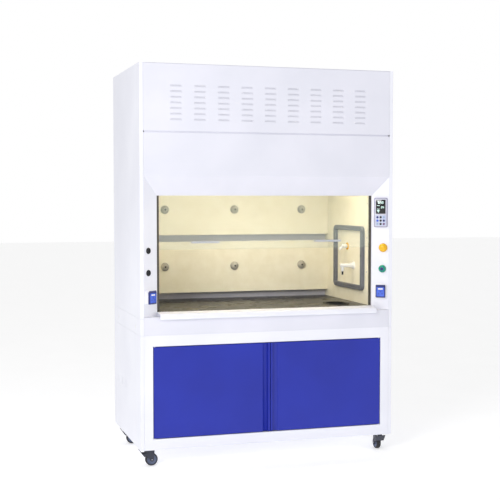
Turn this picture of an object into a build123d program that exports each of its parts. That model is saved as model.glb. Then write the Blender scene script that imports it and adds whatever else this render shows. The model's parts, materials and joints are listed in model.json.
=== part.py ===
from build123d import *
import math
import os

# Walk-up laboratory fume hood on a base cabinet, in millimetres.
# X runs to the right, Y from the front to the back, Z up. The origin is on the floor, under the
# middle of the whole outline. A depth is a distance behind the cabinet's flat front.

# Overall form
WIDTH = 1480.0
DEPTH = 800.0
CASTER_HEIGHT = 96.0
BASE_HEIGHT = 627.0
HOOD_HEIGHT = 1473.0
SILL_NOSE = 24.0  # how far the airfoil sill stands in front of the flat front
SHEET = 1.5  # outer steel sheet
FRONT_STRIP = 20.0  # width of the side sheets' front flanges
SEAM = 0.8  # open joint between outer sheets
TOUCH = 0.3  # gap between curved or moving pieces that nearly touch
RUNNING = 0.05  # radial clearance of a pin in its hole
MITRE_GAP = 0.4  # open joint between the lintel and the posts

# Front picture frame round the opening
POST_WIDTH = 85.5
BEVEL_DEPTH = 57.0
APRON_HEIGHT = 100.0
OPENING_HEIGHT = 659.5  # from the apron's ledge to the lintel
LINTEL_HEIGHT = 107.5
FASCIA_HEIGHT = 232.5
LOUVRE_GAP = 8.0  # shaded band between the fascia and the louvred panel
JOGGLE_DEPTH = 6.0  # how far the fascia's upper flange is set back
JOGGLE_RISE = 26.0
JOGGLE_NOTCH = 5.0  # corner cut out of that flange at each end
RETURN_FLANGE = 15.0

# Work chamber
WORKTOP_RISE = 24.0  # worktop's face above the apron's ledge
WORKTOP_THICKNESS = 16.0
LINER_THICKNESS = 5.0
LINER_INSET = 12.5  # how far each inner side panel's face stands in from the post
LINER_FRONT = 76.0
REAR_SPACE = 30.0  # between the rear wall's face and the hood's back
BAFFLE_SPACE = 43.0  # between a baffle's back and the rear wall
CHAMBER_HEIGHT = 809.0
CEILING_FRONT = 92.0
CEILING_THICKNESS = 5.0
LOWER_BAFFLE_RISE = 41.0
LOWER_BAFFLE_HEIGHT = 313.0
BAFFLE_SLOT = 41.0
UPPER_BAFFLE_DROP = 20.0
RAIL_HEIGHT = 40.0
RAIL_DEPTH = 34.0
RAIL_SHEET = 2.0
RAIL_INSET = 24.0
INNER_PANEL_DROP = 6.0

# Baffle knobs
KNOB_INSET = 180.0
UPPER_KNOB_RISE = 156.5
LOWER_KNOB_RISE = 161.0
BAFFLE_KNOB_DIAMETER = 52.0
BAFFLE_KNOB_LENGTH = 20.0
BAFFLE_KNOB_LOBES = 8
BAFFLE_KNOB_CAP = 10.0  # diameter of the cap over the stud
STUD_DIAMETER = 8.0
SPACER_DIAMETER = 16.0

# Plenum and lamp openings in the ceiling
PLENUM_SLOT_WIDTH = 500.0
PLENUM_SLOT_MARGIN = 4.0
LAMP_LENGTH = 1000.0
LAMP_WIDTH = 100.0
LAMP_INSET = 48.0
LAMP_RIM = 15.0
LAMP_HEIGHT = 58.0

# Sash
GLASS_THICKNESS = 5.0
GLASS_DEPTH = 63.0  # front face of the glass
SASH_RISE = 363.0  # glass's bottom edge above the apron's ledge, as shown
GLASS_HEIGHT = 665.0
TRACK_WALL = 2.0
TRACK_WIDTH = 11.5
TRACK_CLEARANCE = 0.4
TRACK_DROP = 36.0
TOP_RAIL_INSET = 10.0
TOP_RAIL_HEIGHT = 15.0
TOP_RAIL_WALL = 2.0
TOP_RAIL_GRIP = 8.0
HANDLE_LENGTH = 158.0
HANDLE_OFFSET = 362.0
HANDLE_RISE = 33.0
HANDLE_HEIGHT = 11.5
HANDLE_REACH = 18.0
HANDLE_LIP = 10.0
HANDLE_WALL = 2.5

# Sash balance
CABLE_DIAMETER = 3.0
CABLE_INSET = 22.0
PULLEY_GROOVE = 28.5
PULLEY_RIM = 33.0
PULLEY_WIDTH = 12.0
SHAFT_DIAMETER = 16.0
SHAFT_DROP = 56.0
COUNTERWEIGHT_INSET = 7.0
COUNTERWEIGHT_THICKNESS = 14.0
COUNTERWEIGHT_HEIGHT = 80.5
COUNTERWEIGHT_DROP = 706.0
COUNTERWEIGHT_SPACE = 14.0  # from its middle to the hood's back

# Louvred panel
LOUVRE_COLUMNS = 9
LOUVRE_ROWS = 7
LOUVRE_PITCH_X = 134.4
LOUVRE_PITCH_Z = 30.2
LOUVRE_LENGTH = 71.0
LOUVRE_HEIGHT = 10.0
LOUVRE_REACH = 5.5  # how deep the pockets are pressed in
LOUVRE_SLOPE = 7.0  # width of each pocket's sloping end
LOUVRE_SHEET = 1.2
LOUVRE_RISE = 153.5  # middle row above the panel's bottom edge

# Airfoil sill
SILL_SHEET = 2.0
SILL_DROP = 14.5
SILL_FACE = 32.0
SILL_REST_RISE = 23.0

# Base cabinet
DOOR_FRAME_SIDE = 70.0
DOOR_FRAME_RAIL = 60.0
FRAME_RETURN = 20.0
DOOR_GAP = 3.5
DOOR_THICKNESS = 18.0
DOOR_SHEET = 1.2
GRIP_MARGIN = 11.5
GRIP_FLOOR = 22.0
GRIP_SLOPE = 10.0
GRIP_DEPTH = 13.0
HINGE_PIN_DIAMETER = 5.0
HINGE_PIN_INSET = 6.0
HINGE_PIN_DEPTH = 5.5
HINGE_COLLAR_DIAMETER = 9.0
FLOOR_SHEET = 2.0
VENT_INSETS = (371.0, 251.0, 140.0)  # from the back
VENT_HEIGHT = 44.0
VENT_WIDTH = 8.0
VENT_RISE = 300.0
SIDE_BAND_HEIGHT = 93.0
SIDE_PLUG_FRONT = 132.0
SIDE_PLUG_BACK = 153.0
SIDE_PLUG_RISE = 39.0
SIDE_PLUG_HOLE = 18.0
SIDE_PLUG_FLANGE = 24.0
SIDE_PLUG_STAND = 1.5

# Casters
CASTER_INSET = 58.0
FRONT_CASTER_DEPTH = 60.0
REAR_CASTER_INSET = 178.0
CASTER_PLATE_LENGTH = 92.0
CASTER_PLATE_WIDTH = 64.0
CASTER_PLATE_THICKNESS = 3.0
CASTER_HOLE_SPACING_X = 72.0
CASTER_HOLE_SPACING_Y = 44.0
CASTER_HOLE_DIAMETER = 8.0
WHEEL_DIAMETER = 70.0
WHEEL_WIDTH = 28.0
CASTER_TRAIL = 12.0
KINGPIN_DIAMETER = 12.0
KINGPIN_HEAD = 20.0
RACE_DIAMETER = 52.0
RACE_HEIGHT = 7.0
FORK_SHEET = 2.5
FORK_INNER = 15.5
AXLE_DIAMETER = 8.0
PEDAL_PIVOT_X = -17.0
PEDAL_PIVOT_Z = 64.0
PEDAL_PIVOT_DIAMETER = 6.0
PEDAL_WIDTH = 50.0
PEDAL_SHEET = 2.5

# Cup sink
SINK_INSET = 143.0
SINK_DEPTH = 215.0
SINK_WIDTH = 136.0
SINK_LENGTH = 180.0
SINK_CORNER = 62.0
SINK_RIM = 12.0
SINK_RIM_THICKNESS = 3.0
SINK_WALL = 3.0
SINK_BOWL_DEPTH = 92.0
SINK_TAIL_DIAMETER = 40.0
SINK_TAIL_LENGTH = 50.0
SINK_CLEARANCE = 2.0
SINK_GRID_THICKNESS = 3.0
SINK_GRID_HOLE = 7.0
SINK_GRID_CIRCLE = 24.0

# Access panel, gasket and fittings on the right inner panel
WINDOW_FRONT = 126.0
WINDOW_LENGTH = 451.0
WINDOW_RISE = 78.0
WINDOW_HEIGHT = 378.0
GASKET_BAND = 28.0
GASKET_STAND = 20.0
GASKET_CORNER = 33.0
GASKET_ROUND = 5.0
PANEL_CLEARANCE = 1.0
NOZZLE_INSET = 264.0
NOZZLE_DROP = 126.0
TAP_INSET = 167.0
TAP_FALL = 237.0
FLANGE_RADIUS = 22.0
FLANGE_THICKNESS = 5.0
NOZZLE_BODY = 38.0  # how far its body reaches from the panel
BARB_LENGTH = 30.0
TAP_REACH = 87.5
TAP_PIPE = 24.0
SPOUT_REACH = 71.0  # the outlet's middle, from the panel
SPOUT_DIAMETER = 18.0
SPOUT_DROP = 36.0
SPOUT_TIP = 20.0

# Controls on the bevelled posts. A run is a distance along the bevel from its outer edge, and a
# rise is a height above the apron's ledge.
SOCKET_RUN = 44.0
SOCKET_RISE = 108.0
SOCKET_WIDTH = 66.0
SOCKET_TALL = 74.0
SOCKET_BODY_STAND = 18.0
LID_WIDTH = 56.0
LID_TALL = 70.0
LID_STAND = 10.0
LID_WALL = 2.0
LID_PIN = 3.0
LID_BARREL = 7.0
CONTROL_RUN = 48.0
CONTROL_RISE = 562.5
CONTROL_WIDTH = 79.0
CONTROL_TALL = 170.0
CONTROL_STAND = 8.0
DISPLAY_WIDTH = 56.0
DISPLAY_TALL = 81.0
DISPLAY_RISE = 33.5
KEY_PITCH_X = 18.3
KEY_PITCH_Z = 19.4
KEY_DIAMETER = 13.0
KEY_CENTRE_DROP = 46.5
GAS_KNOB_RUN = 34.0
GAS_KNOB_RISE = 359.5
GAS_KNOB_DIAMETER = 50.0
WATER_KNOB_RUN = 38.0
WATER_KNOB_RISE = 237.5
WATER_KNOB_DIAMETER = 44.0
VALVE_KNOB_LENGTH = 24.0
SPINDLE_DIAMETER = 10.0
PLUG_RUN = 36.3
PLUG_RISES = (360.5, 240.0)
PLUG_HOLE = 28.0
PLUG_FLANGE = 34.0
PLUG_STAND = 3.0

# Blower and exhaust spigot
SPIGOT_INSET = 300.0
SPIGOT_RADIUS = 125.0
SPIGOT_HEIGHT = 40.0
SPIGOT_WALL = 2.0
SPIGOT_FLANGE = 145.0  # radius of the collar that lies on the top sheet
SPIGOT_WELD = 3.0  # weld bead in the corner over the collar
NECK_STEP = 1.0  # how much narrower the neck is below the collar
BLOWER_WIDTH = 150.0
BLOWER_WALL = 2.0
SPIRAL_RADIUS = 174.0
SPIRAL_STEP = 28.0
SPIRAL_OFFSET = 192.0  # spiral's centre to the left of the spigot
SPIRAL_RISE = 232.0
TONGUE_ANGLE = 30.0
DUCT_DROP = 126.0
INLET_RADIUS = 92.0
BLOWER_FOOT = 25.0
WHEEL_BLADES = 24
WHEEL_OUTER = 120.0
WHEEL_INNER = 96.0
WHEEL_BODY = 112.0
MOTOR_RADIUS = 66.0
MOTOR_LENGTH = 168.0
MOTOR_FLANGE = 80.0
MOTOR_SHAFT = 14.0

# Widths worked out from the sizes above
HALF = WIDTH / 2
INSIDE = HALF - SHEET
PANEL_HALF = HALF - FRONT_STRIP - SEAM
BEVEL_OUTER = HALF - FRONT_STRIP
BEVEL_INNER = BEVEL_OUTER - POST_WIDTH
SILL_HALF = BEVEL_INNER - TOUCH
LINER_INNER = BEVEL_INNER - LINER_INSET
LINER_OUTER = LINER_INNER + LINER_THICKNESS
KNOB_OFFSET = LINER_INNER - KNOB_INSET
SINK_X = LINER_INNER - SINK_INSET
GLASS_HALF = LINER_INNER + TRACK_WIDTH - TRACK_WALL - 2 * TRACK_CLEARANCE
TOP_RAIL_HALF = LINER_INNER - TOP_RAIL_INSET
CABLE_OFFSET = LINER_INNER - CABLE_INSET
COUNTERWEIGHT_LENGTH = 2 * (LINER_INNER - COUNTERWEIGHT_INSET)
DOOR_OPENING_HALF = HALF - DOOR_FRAME_SIDE
SPIRAL_CENTRE_X = -SPIRAL_OFFSET

# Depths
FRONT = SILL_NOSE - (DEPTH + SILL_NOSE) / 2
WORKTOP_FRONT = BEVEL_DEPTH + SHEET
REAR_WALL_DEPTH = DEPTH - REAR_SPACE
BAFFLE_DEPTH = REAR_WALL_DEPTH - BAFFLE_SPACE - LINER_THICKNESS
LAMP_FRONT = CEILING_FRONT + LAMP_INSET
WINDOW_BACK = WINDOW_FRONT + WINDOW_LENGTH
NOZZLE_DEPTH = WINDOW_FRONT + NOZZLE_INSET
TAP_DEPTH = WINDOW_FRONT + TAP_INSET
GLASS_MIDDLE = GLASS_DEPTH + GLASS_THICKNESS / 2
CABLE_RADIUS = PULLEY_GROOVE + CABLE_DIAMETER / 2 + TOUCH
COUNTERWEIGHT_DEPTH = DEPTH - COUNTERWEIGHT_SPACE
FRONT_SHAFT_DEPTH = GLASS_MIDDLE + CABLE_RADIUS
REAR_SHAFT_DEPTH = COUNTERWEIGHT_DEPTH - CABLE_RADIUS
VENT_DEPTHS = [DEPTH - inset for inset in VENT_INSETS]
SIDE_PLUG_DEPTHS = (SIDE_PLUG_FRONT, DEPTH - SIDE_PLUG_BACK)
REAR_CASTER_DEPTH = DEPTH - REAR_CASTER_INSET
SPIGOT_DEPTH = DEPTH - SPIGOT_INSET

# Heights
BASE_BOTTOM = CASTER_HEIGHT
SEAM_HEIGHT = BASE_BOTTOM + BASE_HEIGHT
TOP = SEAM_HEIGHT + HOOD_HEIGHT
RACE_BOTTOM = CASTER_HEIGHT - CASTER_PLATE_THICKNESS - RACE_HEIGHT
DOOR_OPENING_BOTTOM = BASE_BOTTOM + DOOR_FRAME_RAIL
DOOR_OPENING_TOP = SEAM_HEIGHT - DOOR_FRAME_RAIL
VENT_CENTRE = BASE_BOTTOM + VENT_RISE
SIDE_PLUG_HEIGHT = SEAM_HEIGHT + SIDE_PLUG_RISE
LEDGE_HEIGHT = SEAM_HEIGHT + APRON_HEIGHT
OPENING_TOP = LEDGE_HEIGHT + OPENING_HEIGHT
FASCIA_BOTTOM = OPENING_TOP + LINTEL_HEIGHT
FASCIA_TOP = FASCIA_BOTTOM + FASCIA_HEIGHT
LOUVRE_BOTTOM = FASCIA_TOP + LOUVRE_GAP
LOUVRE_CENTRE_HEIGHT = LOUVRE_BOTTOM + LOUVRE_RISE
WORKTOP_TOP = LEDGE_HEIGHT + WORKTOP_RISE
WORKTOP_BOTTOM = WORKTOP_TOP - WORKTOP_THICKNESS
CEILING_HEIGHT = WORKTOP_TOP + CHAMBER_HEIGHT
LOWER_BAFFLE_BOTTOM = WORKTOP_TOP + LOWER_BAFFLE_RISE
LOWER_BAFFLE_TOP = LOWER_BAFFLE_BOTTOM + LOWER_BAFFLE_HEIGHT
UPPER_BAFFLE_BOTTOM = LOWER_BAFFLE_TOP + BAFFLE_SLOT
UPPER_BAFFLE_TOP = CEILING_HEIGHT - UPPER_BAFFLE_DROP
UPPER_KNOB_HEIGHT = UPPER_BAFFLE_BOTTOM + UPPER_KNOB_RISE
LOWER_KNOB_HEIGHT = LOWER_BAFFLE_BOTTOM + LOWER_KNOB_RISE
WINDOW_BOTTOM = WORKTOP_TOP + WINDOW_RISE
WINDOW_TOP = WINDOW_BOTTOM + WINDOW_HEIGHT
NOZZLE_HEIGHT = WINDOW_TOP - NOZZLE_DROP
TAP_HEIGHT = WINDOW_TOP - TAP_FALL
GLASS_BOTTOM = LEDGE_HEIGHT + SASH_RISE
GLASS_TOP = GLASS_BOTTOM + GLASS_HEIGHT
TOP_RAIL_TOP = GLASS_TOP - TOP_RAIL_GRIP + TOP_RAIL_HEIGHT
HANDLE_BOTTOM = GLASS_BOTTOM + HANDLE_RISE
SHAFT_HEIGHT = TOP - SHAFT_DROP
TRACK_TOP = SHAFT_HEIGHT - TRACK_DROP
INNER_PANEL_TOP = TOP - INNER_PANEL_DROP
COUNTERWEIGHT_TOP = TOP - COUNTERWEIGHT_DROP
SOCKET_HEIGHT = LEDGE_HEIGHT + SOCKET_RISE
CONTROL_HEIGHT = LEDGE_HEIGHT + CONTROL_RISE
GAS_KNOB_HEIGHT = LEDGE_HEIGHT + GAS_KNOB_RISE
WATER_KNOB_HEIGHT = LEDGE_HEIGHT + WATER_KNOB_RISE
PLUG_HEIGHTS = [LEDGE_HEIGHT + rise for rise in PLUG_RISES]
SPIRAL_CENTRE_Z = CEILING_HEIGHT + CEILING_THICKNESS + SPIRAL_RISE
DUCT_TOP = TOP - DUCT_DROP


def at(depth):
    """Y of a point that lies this far behind the flat front."""
    return FRONT + depth


def block(x0, x1, depth0, depth1, z0, z1):
    """Box between two corners."""
    size = Box(x1 - x0, depth1 - depth0, z1 - z0)
    return Pos((x0 + x1) / 2, at((depth0 + depth1) / 2), (z0 + z1) / 2) * size


def prism_x(points, x0, x1):
    """Closed outline of (depth, z) points, drawn out along X."""
    face = make_face(Polyline(*[(x0, at(d), z) for d, z in points], close=True))
    return extrude(face, amount=x1 - x0, dir=(1, 0, 0))


def prism_y(points, depth0, depth1):
    """Closed outline of (x, z) points, drawn out along Y."""
    face = make_face(Polyline(*[(x, at(depth0), z) for x, z in points], close=True))
    return extrude(face, amount=depth1 - depth0, dir=(0, 1, 0))


def prism_z(points, z0, z1):
    """Closed outline of (x, depth) points, drawn out along Z."""
    face = make_face(Polyline(*[(x, at(d), z0) for x, d in points], close=True))
    return extrude(face, amount=z1 - z0, dir=(0, 0, 1))


def folded(path, sheet):
    """Section of a folded sheet: the path of one face, and its offset by the sheet to the left."""
    inner = []
    for i, (u, v) in enumerate(path):
        normals = []
        for a, b in ((i - 1, i), (i, i + 1)):
            if a >= 0 and b < len(path):
                du, dv = path[b][0] - path[a][0], path[b][1] - path[a][1]
                run = math.hypot(du, dv)
                normals.append((-dv / run, du / run))
        nu = sum(n[0] for n in normals) / len(normals)
        nv = sum(n[1] for n in normals) / len(normals)
        stretch = sheet / (nu * nu + nv * nv)
        inner.append((u + nu * stretch, v + nv * stretch))
    return list(path) + inner[::-1]


def rod(radius, start, end):
    """Cylinder between two points."""
    line = Vector(*end) - Vector(*start)
    plane = Plane(origin=start, z_dir=line)
    return extrude(plane * Circle(radius), amount=line.length)


def bore(radius, centre, direction, length):
    """Cylinder of a length, centred on a point, used to cut holes."""
    step = Vector(*direction).normalized() * (length / 2)
    start = Vector(*centre) - step
    return rod(radius, tuple(start), tuple(start + step * 2))


def mirrored(part):
    """The same piece on the other side of the middle."""
    return mirror(part, about=Plane.YZ)


def mitre_height(x, gap):
    """Height of the joint between the lintel and a post, above a point on the bevel."""
    return OPENING_TOP + (abs(x) - BEVEL_INNER) * LINTEL_HEIGHT / POST_WIDTH + gap / 2


def bevel_plane(side, run, height, stand=0.0):
    """Plane on a post's bevel, looked at from the front: side is -1 for left and 1 for right."""
    length = math.hypot(POST_WIDTH, BEVEL_DEPTH)
    along = Vector(-side * POST_WIDTH / length, BEVEL_DEPTH / length, 0)
    out = Vector(-side * BEVEL_DEPTH / length, -POST_WIDTH / length, 0)
    origin = Vector(side * BEVEL_OUTER, at(0), height) + along * run + out * stand
    return Plane(origin=origin, x_dir=along * -side, z_dir=out)


def export(name, *pieces):
    """Write one sub-part, whose pieces stay separate solids."""
    solids = []
    for piece in pieces:
        solids.extend(piece.solids())
    for solid in solids:
        assert solid.is_valid, name
    whole = solids[0] if len(solids) == 1 else Compound(children=solids)
    export_step(whole, f"parts/{name}.step")


os.makedirs("parts", exist_ok=True)


# Base cabinet carcass
def base_side():
    """Left side sheet with its front flange and three vent slots."""
    path = [(-HALF, DEPTH), (-HALF, 0), (-HALF + FRONT_STRIP, 0)]
    sheet = prism_z(folded(path, SHEET), BASE_BOTTOM, SEAM_HEIGHT - SEAM)
    for depth in VENT_DEPTHS:
        slot = Plane(origin=(-HALF, at(depth), VENT_CENTRE), x_dir=(0, 0, 1), z_dir=(1, 0, 0))
        sheet -= extrude(slot * SlotOverall(VENT_HEIGHT, VENT_WIDTH), amount=SHEET, both=True)
    return sheet


def face_frame():
    """Welded front frame with a returned edge round the door opening and the doors' pivot pins."""
    low, high, half = DOOR_OPENING_BOTTOM, DOOR_OPENING_TOP, DOOR_OPENING_HALF
    plate = block(-PANEL_HALF, PANEL_HALF, 0, SHEET, BASE_BOTTOM, SEAM_HEIGHT)
    edge = block(-half - SHEET, half + SHEET, 0, FRAME_RETURN, low - SHEET, high + SHEET)
    frame = plate + edge - block(-half, half, -1, FRAME_RETURN + 1, low, high)
    pin_x = half - DOOR_GAP - HINGE_PIN_INSET
    for x in (-pin_x, pin_x):
        y = at(HINGE_PIN_DEPTH)
        for inside, up in ((low, 1), (high, -1)):
            tip = inside + up * (DOOR_GAP + HINGE_PIN_INSET)
            frame += rod(HINGE_PIN_DIAMETER / 2, (x, y, inside - up * SHEET), (x, y, tip))
            shoulder = inside + up * (DOOR_GAP - TOUCH)
            frame += rod(HINGE_COLLAR_DIAMETER / 2, (x, y, inside), (x, y, shoulder))
    return frame


export("base_sides", base_side(), mirrored(base_side()))
export("base_back", block(-INSIDE, INSIDE, DEPTH - SHEET, DEPTH, BASE_BOTTOM, SEAM_HEIGHT))
export("base_floor", block(-INSIDE, INSIDE, SHEET, DEPTH - SHEET, BASE_BOTTOM,
                           BASE_BOTTOM + FLOOR_SHEET))
export("base_face_frame", face_frame())


# Doors: open-backed pans with a folded grip channel beside the middle gap
def door():
    """Left door."""
    outer = -DOOR_OPENING_HALF + DOOR_GAP
    inner = -DOOR_GAP / 2
    low, high = DOOR_OPENING_BOTTOM + DOOR_GAP, DOOR_OPENING_TOP - DOOR_GAP
    lip = inner - GRIP_MARGIN
    floor_in = lip - GRIP_FLOOR
    flat_end = floor_in - GRIP_SLOPE
    path = [
        (outer, DOOR_THICKNESS), (outer, 0), (flat_end, 0), (floor_in, GRIP_DEPTH),
        (lip, GRIP_DEPTH), (lip, 0), (inner, 0), (inner, DOOR_THICKNESS),
    ]
    pan = prism_z(folded(path, DOOR_SHEET), low, high)
    for z0 in (low, high - DOOR_SHEET):
        pan += prism_z(path, z0, z0 + DOOR_SHEET)
    hinge = (outer + HINGE_PIN_INSET, at(HINGE_PIN_DEPTH), (low + high) / 2)
    return pan - bore(HINGE_PIN_DIAMETER / 2 + RUNNING, hinge, (0, 0, 1), high - low + 2)


export("left_door", door())
export("right_door", mirrored(door()))


# Casters, built at the origin with the swivel axis on Z and the wheel trailing towards +X
def caster_plate():
    """Top plate with bolt holes and the headed kingpin."""
    top = CASTER_HEIGHT
    under = top - CASTER_PLATE_THICKNESS
    outline = RectangleRounded(CASTER_PLATE_LENGTH, CASTER_PLATE_WIDTH, 6)
    plate = extrude(Pos(0, 0, under) * outline, amount=CASTER_PLATE_THICKNESS)
    for sx in (-1, 1):
        for sy in (-1, 1):
            centre = (sx * CASTER_HOLE_SPACING_X / 2, sy * CASTER_HOLE_SPACING_Y / 2, top)
            plate -= bore(CASTER_HOLE_DIAMETER / 2, centre, (0, 0, 1), 4 * CASTER_PLATE_THICKNESS)
    head_top = RACE_BOTTOM - FORK_SHEET - TOUCH
    plate += rod(KINGPIN_DIAMETER / 2, (0, 0, head_top - 4), (0, 0, under))
    plate += rod(KINGPIN_HEAD / 2, (0, 0, head_top - 4), (0, 0, head_top))
    return plate


def caster_fork():
    """Ball race cup, two legs, the axle bolt and the pedal's pivot stubs."""
    radius = WHEEL_DIAMETER / 2
    bridge = RACE_BOTTOM - FORK_SHEET
    race_top = CASTER_HEIGHT - CASTER_PLATE_THICKNESS - TOUCH
    fork = rod(RACE_DIAMETER / 2, (0, 0, RACE_BOTTOM), (0, 0, race_top))
    half_width = FORK_INNER + FORK_SHEET
    fork += Pos(1, 0, bridge + FORK_SHEET / 2) * Box(52, 2 * half_width, FORK_SHEET)
    fork -= bore(KINGPIN_DIAMETER / 2 + RUNNING, (0, 0, CASTER_HEIGHT), (0, 0, 1), 40)
    outline = [(-25, bridge), (27, bridge), (CASTER_TRAIL + 10, radius), (CASTER_TRAIL - 10, radius),
               (-22, PEDAL_PIVOT_Z - 6)]
    for side in (-1, 1):
        start = side * FORK_INNER
        leg = make_face(Polyline(*[(x, start, z) for x, z in outline], close=True))
        leg = extrude(leg, amount=FORK_SHEET, dir=(0, side, 0))
        end = start + side * FORK_SHEET
        leg += rod(10, (CASTER_TRAIL, start, radius), (CASTER_TRAIL, end, radius))
        fork += leg
        stub = end + side * (PEDAL_SHEET + 2 * TOUCH)
        pivot = (PEDAL_PIVOT_X, start, PEDAL_PIVOT_Z)
        fork += rod(PEDAL_PIVOT_DIAMETER / 2, pivot, (PEDAL_PIVOT_X, stub, PEDAL_PIVOT_Z))
        fork += rod(6.5, (CASTER_TRAIL, end, radius), (CASTER_TRAIL, end + side * 4, radius))
    fork += rod(AXLE_DIAMETER / 2, (CASTER_TRAIL, -half_width, radius),
                (CASTER_TRAIL, half_width, radius))
    return fork


def caster_wheel():
    """Wheel with a crowned tread, a dished web on each side and a hub."""
    radius, half = WHEEL_DIAMETER / 2, WHEEL_WIDTH / 2
    hub = FORK_INNER - TOUCH
    bore_radius = AXLE_DIAMETER / 2 + RUNNING
    side = [(bore_radius, hub), (10, hub), (12, 6), (24, 6), (27, half - 1), (30, half - 1),
            (radius - 1.5, half - 4), (radius, half - 9)]
    outline = side + [(r, -y) for r, y in side[::-1]]
    face = make_face(Polyline(*[(r, 0, y) for r, y in outline], close=True))
    wheel = revolve(face, axis=Axis.Z)
    return Pos(CASTER_TRAIL, 0, radius) * Rot(90, 0, 0) * wheel


def brake_pedal():
    """Foot pedal: two cheeks outside the fork's legs and a plate that rises towards -X."""
    inner = FORK_INNER + FORK_SHEET + TOUCH
    foot, toe = (-29.0, 54.0), (-55.0, 90.0)
    run = math.hypot(toe[0] - foot[0], toe[1] - foot[1])
    lift = (-(toe[1] - foot[1]) / run * PEDAL_SHEET, (toe[0] - foot[0]) / run * PEDAL_SHEET)
    plate_outline = [foot, toe, (toe[0] + lift[0], toe[1] + lift[1]),
                     (foot[0] + lift[0], foot[1] + lift[1])]
    half = PEDAL_WIDTH / 2
    plate = make_face(Polyline(*[(x, -half, z) for x, z in plate_outline], close=True))
    pedal = extrude(plate, amount=PEDAL_WIDTH, dir=(0, 1, 0))
    middle = ((foot[0] + toe[0] + lift[0]) / 2, (foot[1] + toe[1] + lift[1]) / 2)
    heel = (foot[0] + lift[0] / 2, foot[1] + lift[1] / 2)
    cheek_outline = [heel, middle, (-19, 71), (-11, 64), (-16, 57)]
    for side in (-1, 1):
        cheek = make_face(Polyline(*[(x, side * inner, z) for x, z in cheek_outline], close=True))
        pedal += extrude(cheek, amount=PEDAL_SHEET, dir=(0, side, 0))
    pivot = (PEDAL_PIVOT_X, 0, PEDAL_PIVOT_Z)
    return pedal - bore(PEDAL_PIVOT_DIAMETER / 2 + RUNNING, pivot, (0, 1, 0), 4 * half)


CASTERS = {
    "front_left": (-HALF + CASTER_INSET, FRONT_CASTER_DEPTH, 0),
    "front_right": (HALF - CASTER_INSET, FRONT_CASTER_DEPTH, 90),
    "rear_left": (-HALF + CASTER_INSET, REAR_CASTER_DEPTH, 0),
    "rear_right": (HALF - CASTER_INSET, REAR_CASTER_DEPTH, 0),
}
plates = []
for corner, (x, depth, turn) in CASTERS.items():
    place = Pos(x, at(depth), 0) * Rot(0, 0, turn)
    plates.append(place * caster_plate())
    export(f"{corner}_caster_fork", place * caster_fork())
    export(f"{corner}_caster_wheel", place * caster_wheel())
    export(f"{corner}_brake_pedal", place * brake_pedal())
export("caster_plates", *plates)


# Hood shell
def hood_side():
    """Left side: a low band with two plug holes, and the tall sheet above it."""
    path = [(-HALF, DEPTH), (-HALF, 0), (-HALF + FRONT_STRIP, 0)]
    section = folded(path, SHEET)
    split = SEAM_HEIGHT + SIDE_BAND_HEIGHT
    band = prism_z(section, SEAM_HEIGHT, split - SEAM)
    for depth in SIDE_PLUG_DEPTHS:
        centre = (-HALF, at(depth), SIDE_PLUG_HEIGHT)
        band -= bore(SIDE_PLUG_HOLE / 2 + TOUCH, centre, (1, 0, 0), 4 * SHEET)
    return band, prism_z(section, split, TOP - SHEET)


def louvre_panel():
    """Removable front panel, hemmed above and below, with rows of pockets pressed inwards."""
    low, high = LOUVRE_BOTTOM, TOP - SHEET - SEAM
    path = [(RETURN_FLANGE, high), (0, high), (0, low), (JOGGLE_DEPTH - TOUCH, low)]
    panel = prism_x(folded(path, SHEET), -PANEL_HALF, PANEL_HALF)
    wall, slope = LOUVRE_SHEET, LOUVRE_SLOPE
    length, height = LOUVRE_LENGTH - 2 * wall, LOUVRE_HEIGHT - wall
    pocket = Wedge(LOUVRE_LENGTH, LOUVRE_REACH, LOUVRE_HEIGHT, slope, LOUVRE_HEIGHT / 2,
                   LOUVRE_LENGTH - slope, LOUVRE_HEIGHT)
    hollow = Wedge(length, LOUVRE_REACH - wall, height, slope * 0.8, LOUVRE_HEIGHT * 0.4,
                   length - slope * 0.8, height)
    pockets, hollows = [], []
    for column in range(LOUVRE_COLUMNS):
        x = (column - (LOUVRE_COLUMNS - 1) / 2) * LOUVRE_PITCH_X
        for row in range(LOUVRE_ROWS):
            z = LOUVRE_CENTRE_HEIGHT + (row - (LOUVRE_ROWS - 1) / 2) * LOUVRE_PITCH_Z
            pockets.append(Pos(x, at(LOUVRE_REACH / 2), z) * pocket)
            hollows.append(Pos(x, at((LOUVRE_REACH - wall) / 2), z + wall / 2) * hollow)
    return panel + pockets - hollows


def front_fascia():
    """Lower fascia: a set-back flange behind the louvred panel, and the bevelled lintel below."""
    flange_top = FASCIA_TOP + JOGGLE_RISE
    path = [(JOGGLE_DEPTH, flange_top), (JOGGLE_DEPTH, FASCIA_TOP), (0, FASCIA_TOP),
            (0, FASCIA_BOTTOM), (BEVEL_DEPTH, OPENING_TOP)]
    sheet = prism_x(folded(path, SHEET), -PANEL_HALF, PANEL_HALF)
    for side in (-1, 1):
        near, far = sorted((side * (PANEL_HALF - JOGGLE_NOTCH), side * HALF))
        sheet -= block(near, far, 1, JOGGLE_DEPTH + 2 * SHEET, FASCIA_TOP, flange_top + 1)
    inner, below = BEVEL_INNER, OPENING_TOP - 2 * SHEET
    corner, end = mitre_height(inner, MITRE_GAP), mitre_height(HALF, MITRE_GAP)
    keep = [(-HALF, flange_top), (HALF, flange_top), (HALF, end), (inner, corner), (inner, below),
            (-inner, below), (-inner, corner), (-HALF, end)]
    return sheet & prism_y(keep, -1, BEVEL_DEPTH + RETURN_FLANGE)


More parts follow.
